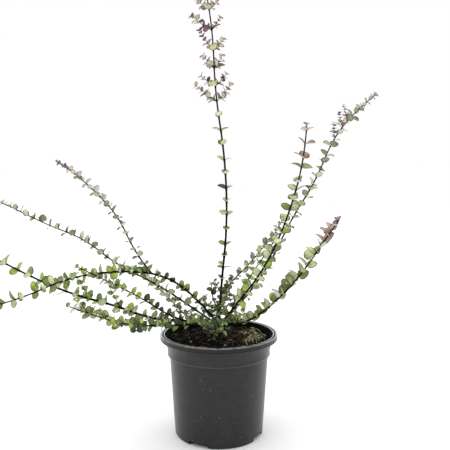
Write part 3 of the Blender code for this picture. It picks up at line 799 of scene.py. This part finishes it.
def cut_notch(pot, heading):
    """Cuts one rounded notch in the pot's foot, at a heading in degrees."""
    deselect_all()
    angle = math.radians(heading)
    place = (BASE_RADIUS * math.cos(angle), BASE_RADIUS * math.sin(angle), 0.0)
    bpy.ops.mesh.primitive_cube_add(size=1.0, location=place, rotation=(0.0, 0.0, angle))
    cutter = bpy.context.active_object
    cutter.scale = (NOTCH_DEPTH * 2, NOTCH_WIDTH, NOTCH_HEIGHT * 2)
    bpy.ops.object.transform_apply(location=True, rotation=True, scale=True)
    round_off = cutter.modifiers.new("round", "BEVEL")
    round_off.width = NOTCH_ROUND
    round_off.segments = 2
    apply_modifiers(cutter)
    cut = pot.modifiers.new("notch", "BOOLEAN")
    cut.object = cutter
    cut.solver = "EXACT"
    apply_modifiers(pot)
    remove([cutter])


def make_pot(groups):
    """The pot's shell with its rolled lip, its band over a raised step, and the notches in its foot."""
    pot = turned("pot_shell", pot_profile(), POT_STEPS)
    for index in range(NOTCH_COUNT):
        cut_notch(pot, -90 + NOTCH_FIRST_HEADING + 360 / NOTCH_COUNT * index)
    select_only(pot)
    bpy.ops.object.shade_smooth_by_angle(angle=math.radians(SMOOTH_ANGLE))
    # faces that look inwards on the inside of the wall take the near-black painted shade material
    for face in pot.data.polygons:
        middle = face.center
        outward = middle.x * face.normal.x + middle.y * face.normal.y
        inward = outward < -INWARD_SHARE * math.hypot(middle.x, middle.y)
        if inward and FLOOR_THICK < middle.z < POT_HEIGHT - LIP_RIDGE:
            face.material_index = 1
    return finished(pot, [pot_plastic(groups), pot_inside_painted_shade(groups)], "pot_plastic", "pot")


# Soil

def make_soil(groups):
    """The soil bed, with lumps over its top that fade at the pot's wall."""
    edge = inner_radius(SOIL_TOP - SOIL_EDGE_DROP, SOIL_GAP)
    shelf = RAISED_FLOOR + SOIL_GAP
    foot = FLOOR_THICK + SOIL_GAP
    profile = []
    for index in range(SOIL_RINGS + 1):
        share = index / SOIL_RINGS
        profile.append((edge * share, SOIL_TOP - SOIL_EDGE_DROP * share ** 3 - SOIL_LUMP / 4))
    profile += [(inner_radius(height, SOIL_GAP), height) for height in (STEP_TOP, STEP_FOOT)]
    profile += [(inner_radius(RAISED_FLOOR, SOIL_GAP), shelf), (INNER_FOOT - SOIL_GAP, shelf)]
    profile += [(INNER_FOOT - WALL - SOIL_GAP, foot), (0.0, foot)]
    bed = turned("soil_bed", profile, SOIL_STEPS)
    top = bed.vertex_groups.new(name="top")
    for vert in bed.data.vertices:
        radius = math.hypot(vert.co.x, vert.co.y)
        if vert.co.z > STEP_TOP + MERGE:
            top.add([vert.index], min(1.0, (edge - radius) / LUMP_FADE + LUMP_EDGE), "REPLACE")
    roughen(bed, LUMP_GRAINS, 3, "Z", "top")
    apply_modifiers(bed)
    bed.vertex_groups.clear()
    bed.data.shade_smooth()
    material = soil_finish("damp_soil", groups, (4, 3, 3), (12, 10, 8))
    return finished(bed, [material], "potting_soil", "soil")


def soil_place(dice):
    """A random place on the soil, clear of the stock."""
    edge = inner_radius(SOIL_TOP)
    while True:
        radius = edge * LITTER_REACH * math.sqrt(dice.random())
        if radius > STOCK_FLARE_RADIUS:
            angle = dice.uniform(0, 2 * math.pi)
            height = SOIL_TOP - SOIL_EDGE_DROP * (radius / edge) ** 3
            return Vector((radius * math.cos(angle), radius * math.sin(angle), height))


def loose_turn(dice, tilt):
    """A random heading with a random tilt up to the given angle in degrees."""
    turn = Matrix.Rotation(dice.uniform(0, 2 * math.pi), 4, "Z")
    return turn @ Matrix.Rotation(math.radians(dice.uniform(-tilt, tilt)), 4, "Y")


def make_crumb():
    """A rough crumb of soil, one unit long."""
    deselect_all()
    bpy.ops.mesh.primitive_ico_sphere_add(subdivisions=2, radius=0.5)
    crumb = bpy.context.active_object
    dice = random.Random(SEED)
    for vert in crumb.data.vertices:
        vert.co *= dice.uniform(*CRUMB_STRAY)
    return crumb


def make_chip():
    """A splinter of composted bark, one unit long: flat, narrow at its ends, with a ragged outline."""
    deselect_all()
    bpy.ops.mesh.primitive_cube_add(size=1.0)
    chip = bpy.context.active_object
    bpy.ops.object.mode_set(mode="EDIT")
    bpy.ops.mesh.select_all(action="SELECT")
    bpy.ops.mesh.subdivide(number_cuts=2)
    bpy.ops.object.mode_set(mode="OBJECT")
    dice = random.Random(SEED + 1)
    for vert in chip.data.vertices:
        narrow = 1 - CHIP_POINT * abs(vert.co.x * 2) ** 2
        along = vert.co.x * dice.uniform(0.85, 1.05)
        across = vert.co.y * CHIP_WIDTH * narrow * dice.uniform(0.75, 1.2)
        vert.co = (along, across, vert.co.z * CHIP_THICK * dice.uniform(0.6, 1.3))
    return chip


def make_soil_litter(groups):
    """What lies on the soil: crumbs, bark chips, pale splinters and fine roots, and moss at one side."""
    dice = random.Random(SEED + 2)
    templates = [make_crumb(), make_chip()]
    rows = [
        ("soil_crumbs", 0, 1500, (0.0012, 0.0032), (4, 3, 2), (13, 10, 8), 60),
        ("soil_chips", 1, 130, (0.003, 0.007), (16, 9, 7), (54, 32, 25), 30),
        ("soil_splinters", 1, 34, (0.0025, 0.006), (90, 78, 62), (176, 160, 136), 35),
    ]
    for name, number, count, sizes, dark, light, tilt in rows:
        placements = []
        for _ in range(count):
            size = dice.uniform(*sizes)
            place = soil_place(dice) + UP * (size * 0.12 - LITTER_SINK)
            width = size * dice.uniform(0.6, 1.1)
            flat = Matrix.Diagonal((size, width, size * dice.uniform(0.6, 1.0), 1.0))
            placements.append((number, Matrix.Translation(place) @ loose_turn(dice, tilt) @ flat))
        litter = copies(name, templates, placements)
        finished(litter, [soil_finish(name, groups, dark, light)], "potting_soil")
    remove(templates)
    make_strands(groups, dice)


def wandering_run(dice, start, heading, length, radius, lift):
    """Points and radii of a thin strand that wanders from its start, rises by its lift and comes down."""
    points = [start]
    rise = lift
    for _ in range(STRAND_STEPS):
        heading += dice.uniform(-STRAND_SWAY, STRAND_SWAY)
        rise -= lift * 2 / STRAND_STEPS
        step = Vector((math.cos(heading), math.sin(heading), rise)) * (length / STRAND_STEPS)
        points.append(points[-1] + step)
    return points, [radius * (1 - 0.5 * index / STRAND_STEPS) for index in range(STRAND_STEPS + 1)]


def make_strands(groups, dice):
    """Strands that loop over the soil: fine roots all over, red-brown ones and moss at the right."""
    rows = [
        ("soil_fibres", 170, (0.0, 0.0), (0.034, 0.034), (0.006, 0.020), 0.00028, (0.2, 0.9),
         (50, 42, 34), (138, 124, 104)),
        ("soil_red_fibres", 90, (0.036, -0.006), (0.012, 0.020), (0.006, 0.016), 0.00032, (0.2, 1.0),
         (46, 25, 17), (122, 74, 50)),
        ("soil_moss", 54, (0.054, -0.002), (0.011, 0.026), (0.009, 0.020), 0.00074, (0.7, 2.2),
         (56, 55, 33), (206, 202, 164)),
    ]
    edge = inner_radius(SOIL_TOP, STRAND_CLEARANCE)
    for name, count, middle, spread, lengths, radius, lifts, dark, light in rows:
        runs = []
        for _ in range(count):
            across = dice.gauss(middle[0], spread[0])
            back = dice.gauss(middle[1], spread[1])
            start = Vector((across, back, SOIL_TOP - STRAND_SINK))
            run = wandering_run(dice, start, dice.uniform(0, 2 * math.pi), dice.uniform(*lengths),
                                radius * dice.uniform(0.6, 1.2), dice.uniform(*lifts))
            if all(math.hypot(point.x, point.y) < edge for point in run[0]):
                runs.append(run)
        strands = tubes(name, runs, 0)
        finished(strands, [soil_finish(name, groups, dark, light)], "potting_soil")


# Canes

def direction_at(cane, share):
    """The cane's direction at a share of its length."""
    place = min(max(share, 0.0), 1.0) * (len(cane.rises) - 1)
    index = min(int(place), len(cane.rises) - 2)
    first, second = cane.rises[index:index + 2]
    rise = math.radians(first + (second - first) * (place - index))
    heading = math.radians(cane.heading + cane.turn * share)
    return Vector((math.cos(rise) * math.cos(heading), math.cos(rise) * math.sin(heading), math.sin(rise)))


def cane_radius(cane, share):
    """The cane's radius at a share of its length: an even taper."""
    return cane.foot_radius * (1 - (1 - TIP_TAPER) * share)


def point_at(path, share):
    """The point at a share of a path's length."""
    place = min(max(share, 0.0), 1.0) * (len(path) - 1)
    index = min(int(place), len(path) - 2)
    return path[index].lerp(path[index + 1], place - index)


def grow_path(cane, paths):
    """Points at even shares of a cane's length, from the head of the stock or its parent's side."""
    out = direction_at(cane, 0.0)
    if cane.parent:
        parent = next(other for other in CANES if other.name == cane.parent)
        along = direction_at(parent, cane.share)
        side = (out - along * out.dot(along)).normalized()
        start = point_at(paths[cane.parent], cane.share) + side * (cane_radius(parent, cane.share) + GAP)
    else:
        start = Vector((0.0, 0.0, HEAD_HEIGHT)) + out * (HEAD_RADIUS + GAP)
    points = [start]
    for index in range(PATH_STEPS):
        step = direction_at(cane, (index + 0.5) / PATH_STEPS) * (cane.length / PATH_STEPS)
        points.append(points[-1] + step)
    return points


def side_vector(along, turn):
    """A vector square to along, at a turn in degrees from the upper side."""
    across = along.cross(UP)
    if across.length < 0.2:
        across = Vector((1.0, 0.0, 0.0)) - along * along.x
    across.normalize()
    upper = across.cross(along).normalized()
    angle = math.radians(turn)
    return upper * math.cos(angle) + across * math.sin(angle)


def stock_run():
    """Points and radii of the stock, from its flare on the soil to its round head."""
    foot = SOIL_TOP - SOIL_LUMP / 3
    neck = (HEAD_HEIGHT + SOIL_TOP) / 2
    head = HEAD_RADIUS * HEAD_SHARE
    middle = (STOCK_FLARE_RADIUS + STOCK_NECK_RADIUS) / 2
    rows = [(foot, STOCK_FLARE_RADIUS), (SOIL_TOP + FLARE_HEIGHT, STOCK_FLARE_RADIUS * 0.88)]
    rows += [(SOIL_TOP + FLARE_TOP, middle), (neck, STOCK_NECK_RADIUS)]
    for elevation in HEAD_ANGLES:
        angle = math.radians(elevation)
        rows.append((HEAD_HEIGHT + head * math.sin(angle), head * math.cos(angle)))
    points = []
    for height, _ in rows:
        lean_left = max(0.0, 1 - max(0.0, height - SOIL_TOP) / ((neck - SOIL_TOP) * 1.4))
        points.append(Vector((STOCK_LEAN * lean_left, 0.0, height)))
    return points, [radius for _, radius in rows]


def make_bark(groups, paths):
    """The stock and the bare limbs, grown together in one skin with the bark's relief."""
    runs = [stock_run()]
    for cane in CANES:
        if not cane.bare:
            continue
        count = round(cane.bare / LIMB_RING_PITCH)
        points = [Vector((0.0, 0.0, HEAD_HEIGHT))]
        radii = [cane_radius(cane, 0.0) * (1 + LIMB_FLARE)]
        for index in range(count + 1):
            distance = cane.bare * index / count
            share = distance / cane.length
            flare = 1 + LIMB_FLARE * max(0.0, 1 - distance / LIMB_FLARE_LENGTH) ** 2
            points.append(point_at(paths[cane.name], share))
            radii.append(cane_radius(cane, share) * flare)
        runs.append((points, radii))
    bark = tubes("bark_limbs", runs, 4)
    skin = bark.modifiers.new("skin", "REMESH")
    skin.mode = "VOXEL"
    skin.voxel_size = BARK_VOXEL
    smooth = bark.modifiers.new("smooth", "SMOOTH")
    smooth.iterations = 2
    roughen(bark, BARK_GRAINS, 2)
    apply_modifiers(bark)
    bark.data.shade_smooth()
    nodes = ["stock"] + [cane.name + "_limb" for cane in CANES if cane.bare]
    return finished(bark, [bark_finish("old_bark", groups, (14, 10, 10), (36, 27, 24))], "bark", *nodes)


# Twigs and leaves

class Growth:
    """What grows on the canes: runs of twig and placements of leaves by tone."""

    def __init__(self):
        self.old_twigs = []
        self.young_twigs = []
        self.leaves = {tone: [] for tone in TONES}


def clear_of_pot(place):
    """Whether a place is clear of the pot's lip and wall, and above the soil."""
    radius = math.hypot(place.x, place.y)
    if radius > LIP_RADIUS + 0.001 or place.z > POT_HEIGHT + 0.001:
        return True
    return radius < LIP_RADIUS - LIP_LAND - 0.003 and place.z > SOIL_TOP + 0.001


def front_vector(along):
    """The level vector square to along that looks to the front."""
    front = Vector((along.y, -along.x, 0.0))
    if front.length < 0.3:
        return Vector((0.0, -1.0, 0.0))
    return front.normalized() * (1 if front.y < 0 else -1)


def place_leaf(growth, tone, root, along, turn, length, cane, dice):
    """Places a leaf on a twig whose direction is along, at a turn round it.

    The upper face looks towards the twig's tip, and turns up, and to the front by the cane's facing.
    A leaf that would touch the pot or the soil is left out.
    """
    side = side_vector(along, turn)
    front = front_vector(along)
    angle = math.radians(cane.tilt + dice.uniform(-LEAF_SWAY, LEAF_SWAY))
    out = along * math.cos(angle) + side * math.sin(angle)
    out -= front * out.dot(front) * cane.facing
    out = (out + side_vector(along, 0) * cane.lift * dice.uniform(*LIFT_STRAY)).normalized()
    face = along * math.sin(angle) - side * math.cos(angle) + UP * LEVELLING * (1 - abs(along.z))
    if dice.random() < BACK_SHARE:
        front = -front
    face = face.lerp(front, min(MOST_FACING, cane.facing * dice.uniform(*FACING_STRAY)))
    face += Vector([dice.gauss(0, FACE_STRAY) for _ in range(3)])
    face = (face - out * face.dot(out)).normalized()
    across = face.cross(out).normalized()
    stance = Matrix((out, across, face)).transposed().to_4x4()
    stance.translation = root
    if not (clear_of_pot(root + out * length) and clear_of_pot(root + out * length * 0.5)):
        return
    size = Matrix.Diagonal((length, length * dice.uniform(*WIDTH_STRAY), length, 1.0))
    growth.leaves[tone].append((dice.randrange(len(LEAF_SHAPES)), stance @ size))


def leaf_size(cane, share):
    """The length of a leaf at a share of the cane: it grows from the foot, and shrinks from the fade."""
    growth = cane.foot_leaf + (1 - cane.foot_leaf) * min(1.0, share / cane.full)
    fade = max(0.0, (share - cane.fade) / (1 - cane.fade))
    return cane.leaf * growth * (1 - (1 - cane.tip_leaf) * fade ** 1.5)


def tone_at(cane, share, dice):
    """A leaf's tone at a share of the cane."""
    for until, names in cane.tones:
        if share <= until:
            return dice.choice(names.split())
    return dice.choice(cane.tones[-1][1].split())


def grow_stem(growth, cane, path, dice):
    """A cane's stem beyond its limb, with a swelling and a pair of leaves at each node.

    Gives back the share of the length at which each node stands.
    """
    first = cane.bare / cane.length
    node_shares = []
    share = first + FIRST_NODE / cane.length
    turn = dice.uniform(-START_SWAY, START_SWAY)
    while share < 1.0:
        node_shares.append(share)
        along = direction_at(cane, share)
        length = leaf_size(cane, share)
        for side in (0, 180):
            tone = tone_at(cane, share + dice.uniform(-TONE_SWAY, TONE_SWAY), dice)
            leaf_turn = turn + side + dice.uniform(-PAIR_SWAY, PAIR_SWAY)
            size = length * dice.uniform(*STEM_LEAF_SIZES)
            seat = side_vector(along, leaf_turn) * cane_radius(cane, share) * LEAF_SEAT
            place_leaf(growth, tone, point_at(path, share) + seat, along, leaf_turn, size, cane, dice)
        if dice.random() < BUD_CHANCE:
            grow_bud(growth, cane, path, share, turn + dice.choice((0, 180)), dice)
        turn += 90 + dice.uniform(-TURN_SWAY, TURN_SWAY)
        pitch = cane.pitch * dice.uniform(1 - cane.jitter, 1 + cane.jitter)
        share += pitch * (length / cane.leaf) ** SMALL_PITCH / cane.length
    along = direction_at(cane, 1.0)
    for side in (0, 180):
        tone = tone_at(cane, 1.0, dice)
        place_leaf(growth, tone, path[-1], along, turn + side, leaf_size(cane, 1.0), cane, dice)
    count = round((1 - first) * cane.length / STEM_RING_PITCH)
    points = []
    radii = []
    lead = STEM_LEAD / cane.length
    if cane.parent:
        points.append(path[0] - direction_at(cane, 0.0) * (cane.foot_radius * FORK_DEPTH))
        radii.append(cane.foot_radius * FORK_SWELL)
        lead = 0.0
    for index in range(count + 1):
        here = first - lead + (1 - first + lead) * index / count
        near = min(abs(here - node) for node in node_shares) * cane.length
        swell = 1 + NODE_SWELL * max(0.0, 1 - near / NODE_LENGTH)
        points.append(point_at(path, here))
        radii.append(cane_radius(cane, here) * swell)
    middle = round(len(points) * OLD_SHARE)
    growth.old_twigs.append((points[:middle + 1], radii[:middle + 1]))
    growth.young_twigs.append((points[middle:], radii[middle:]))
    return node_shares


def grow_bud(growth, cane, path, share, turn, dice):
    """A tiny side twig in the fold of a leaf, with two pairs of small leaves."""
    along = direction_at(cane, share)
    side = side_vector(along, turn + dice.uniform(-BUD_SWAY, BUD_SWAY))
    way = (along * BUD_WAY[0] + side * BUD_WAY[1] + UP * BUD_WAY[2]).normalized()
    length = dice.uniform(*BUD_LENGTHS)
    start = point_at(path, share)
    points = [start + way * length * step / 3 for step in range(len(BUD_RADII))]
    growth.young_twigs.append((points, BUD_RADII))
    for step in (2, 3):
        tone = tone_at(cane, share, dice)
        for pair in (0, 180):
            size = cane.leaf * dice.uniform(*BUD_LEAVES)
            place_leaf(growth, tone, points[step], way, 90 * step + pair, size, cane, dice)


def grow_shoot(growth, cane, start, out, length, size, pitch, tones, dice):
    """A side shoot that curves up, with small leaves in pairs that shrink to its tip."""
    points = [start]
    ways = []
    for step in range(SHOOT_STEPS):
        ways.append((out + UP * cane.shoot_lift * step / SHOOT_STEPS).normalized())
        points.append(points[-1] + ways[-1] * length / SHOOT_STEPS)
    if not all(clear_of_pot(point) for point in points[2:]):
        return
    radii = [SHOOT_RADIUS * (1 - SHOOT_TAPER * step) for step in range(SHOOT_STEPS + 1)]
    growth.young_twigs.append((points, radii))
    distance = SHOOT_FIRST_NODE
    turn = dice.uniform(0, 90)
    while distance < length + size / 4:
        share = min(1.0, distance / length)
        way = ways[min(SHOOT_STEPS - 1, int(share * SHOOT_STEPS))]
        small = size * dice.uniform(*SHOOT_LEAF_SIZES) * (SHOOT_FOOT_SIZE - SHOOT_LEAF_FADE * share)
        root = point_at(points, share)
        for pair in (0, 180):
            place_leaf(growth, dice.choice(tones), root, way, turn + pair, small, cane, dice)
        turn += 90 + dice.uniform(-SHOOT_TURN_SWAY, SHOOT_TURN_SWAY)
        distance += size * pitch * (SHOOT_FOOT_SIZE - SHOOT_PITCH_FADE * share)


def grow_shoots(growth, cane, path, nodes, dice):
    """Side shoots at the cane's nodes, and low ones along its limb."""
    low, high = cane.shoot_span
    paired = cane.shoot_turn == 90
    steps = (cane.shoots + 1) // 2 if paired else cane.shoots
    for index in range(cane.shoots):
        step = index // 2 if paired else index
        wanted = low + (high - low) * (step + 0.5) / steps
        share = min(nodes, key=lambda node: abs(node - wanted))
        along = direction_at(cane, share)
        turn = cane.shoot_turn + (180 * (index % 2) if paired else 0)
        side = side_vector(along, turn + dice.uniform(-SHOOT_SIDE_SWAY, SHOOT_SIDE_SWAY))
        angle = math.radians(SHOOT_TILT + dice.uniform(-SHOOT_TILT_SWAY, SHOOT_TILT_SWAY))
        out = along * math.cos(angle) + side * math.sin(angle)
        length = cane.shoot_length * dice.uniform(*SHOOT_LENGTHS)
        size = cane.shoot_leaf * dice.uniform(*SHOOT_SIZES)
        tones = cane.shoot_tones.split()
        grow_shoot(growth, cane, point_at(path, share), out, length, size, cane.shoot_pitch, tones, dice)
    limb = cane.bare / cane.length
    for index in range(cane.low_shoots):
        share = limb * (LOW_FIRST + LOW_SPAN * (index + dice.random()) / cane.low_shoots)
        along = direction_at(cane, share)
        side = side_vector(along, dice.uniform(-LOW_SWAY, LOW_SWAY))
        out = (along * LOW_WAY[0] + side * LOW_WAY[1] + UP * dice.uniform(*LOW_RISES)).normalized()
        length = dice.uniform(*LOW_LENGTHS)
        size = dice.uniform(*LOW_LEAVES)
        tones = cane.low_tones.split()
        grow_shoot(growth, cane, point_at(path, share), out, length, size, LOW_PITCH, tones, dice)


def make_leaf(fold, arch, twist):
    """A leaf one unit long on +X: a short stalk, then a round blade, folded, arched and twisted."""
    deselect_all()
    last = len(LEAF_ROWS) - 1
    bpy.ops.mesh.primitive_grid_add(x_subdivisions=last, y_subdivisions=4, size=2.0)
    leaf = bpy.context.active_object
    mesh = leaf.data
    layer = mesh.uv_layers[0]
    layer.name = "blade"
    for loop, place in zip(mesh.loops, layer.data):
        co = mesh.vertices[loop.vertex_index].co
        place.uv = (LEAF_ROWS[round((co.x + 1) / 2 * last)], (co.y + 1) / 2)
    for vert in mesh.vertices:
        row = round((vert.co.x + 1) / 2 * last)
        along = LEAF_ROWS[row]
        across = vert.co.y * LEAF_HALF_WIDTHS[row] * LEAF_WIDTH / 2
        lift = abs(across) * fold - arch * along * along + twist * across * along
        vert.co = (along, across, lift)
    wall = leaf.modifiers.new("blade", "SOLIDIFY")
    wall.thickness = LEAF_THICK
    wall.offset = -1.0
    wall.material_offset = 1
    wall.material_offset_rim = 1
    mesh.materials.append(None)
    mesh.materials.append(None)
    close_mesh(leaf)
    apply_modifiers(leaf)
    return leaf


def make_foliage(groups, paths):
    """The twigs and the leaves, each kind joined apart, standing for the foliage of every cane."""
    growth = Growth()
    for index, cane in enumerate(CANES):
        dice = random.Random(SEED * 7 + index)
        nodes = grow_stem(growth, cane, paths[cane.name], dice)
        grow_shoots(growth, cane, paths[cane.name], nodes, dice)
    old = tubes("stems_old", growth.old_twigs, 2)
    finished(old, [bark_finish("stem_brown", groups, (8, 5, 5), (24, 17, 15))], "bark")
    young = tubes("stems_young", growth.young_twigs, 1)
    finished(young, [bark_finish("stem_purple", groups, (15, 9, 12), (34, 23, 25))], "bark")
    templates = [make_leaf(*shape) for shape in LEAF_SHAPES]
    masses = [cane.name + "_foliage" for cane in CANES]
    for tone, placements in growth.leaves.items():
        leaves = copies("leaves_" + tone, templates, placements)
        upper, under = TONES[tone]
        finished(leaves, leaf_finish(tone, upper, under, groups), "foliage", *masses)
    remove(templates)


# Studio

def make_studio():
    """A white studio: a pale floor, a white surround that is brighter at the back, and a soft lamp."""
    deselect_all()
    bpy.ops.mesh.primitive_plane_add(size=FLOOR_SIZE)
    floor = bpy.context.active_object
    floor.name = "studio_floor"
    finish = Finish("studio_floor", 0.8, 0.2)
    shade = finish.graph.noise(finish.graph.object_place(), 3.0)
    finish.feed("Base Color", finish.graph.mix(shade, linear(grey(228)), linear(grey(233))))
    floor.data.materials.append(finish.material)
    world = bpy.data.worlds.new("studio")
    bpy.context.scene.world = world
    world.use_nodes = True
    graph = Graph(world.node_tree)
    sky = world.node_tree.nodes["Background"]
    sky.inputs["Color"].default_value = (1.0, 1.0, 1.0, 1.0)
    skyward = graph.add("ShaderNodeTexCoord").outputs["Generated"]
    way = graph.add("ShaderNodeSeparateXYZ", {0: skyward}).outputs
    around = graph.ramp(way[1], -0.65, 0.35, FRONT_LIGHT, SIDE_LIGHT)
    above = graph.ramp(way[2], 0.25, 0.9)
    light = graph.add("ShaderNodeMix", {0: above, 2: around, 3: TOP_LIGHT}).outputs[0]
    seen = graph.add("ShaderNodeLightPath").outputs["Is Camera Ray"]
    strength = graph.add("ShaderNodeMix", {0: seen, 2: light, 3: 1.0}).outputs[0]
    graph.tree.links.new(strength, sky.inputs["Strength"])
    lamp = bpy.data.lights.new("soft_lamp", "AREA")
    lamp.size = LAMP_SIZE
    lamp.energy = LAMP_POWER
    obj = linked("soft_lamp", lamp)
    obj.location = LAMP_PLACE
    aim = Vector(LAMP_AIM) - Vector(LAMP_PLACE)
    obj.rotation_euler = aim.to_track_quat("-Z", "Y").to_euler()
    bpy.context.scene.view_settings.view_transform = "Standard"


def make_camera():
    """The camera at the photograph's viewing angle."""
    camera = bpy.data.cameras.new("camera")
    camera.sensor_width = SENSOR
    camera.lens = FOCAL_PIXELS / PICTURE_SIZE * SENSOR
    camera.clip_start = CLIP_START
    obj = linked("camera", camera)
    obj.location = CAMERA_PLACE
    obj.rotation_euler = (math.radians(CAMERA_TILT), 0.0, 0.0)
    bpy.context.scene.camera = obj


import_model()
make_camera()
make_studio()
shared = {"grain": grain_group(), "specks": speck_group(), "blade": blade_group()}
make_pot(shared)
make_soil(shared)
make_soil_litter(shared)
cane_paths = {}
for each in CANES:
    cane_paths[each.name] = grow_path(each, cane_paths)
make_bark(shared, cane_paths)
make_foliage(shared, cane_paths)
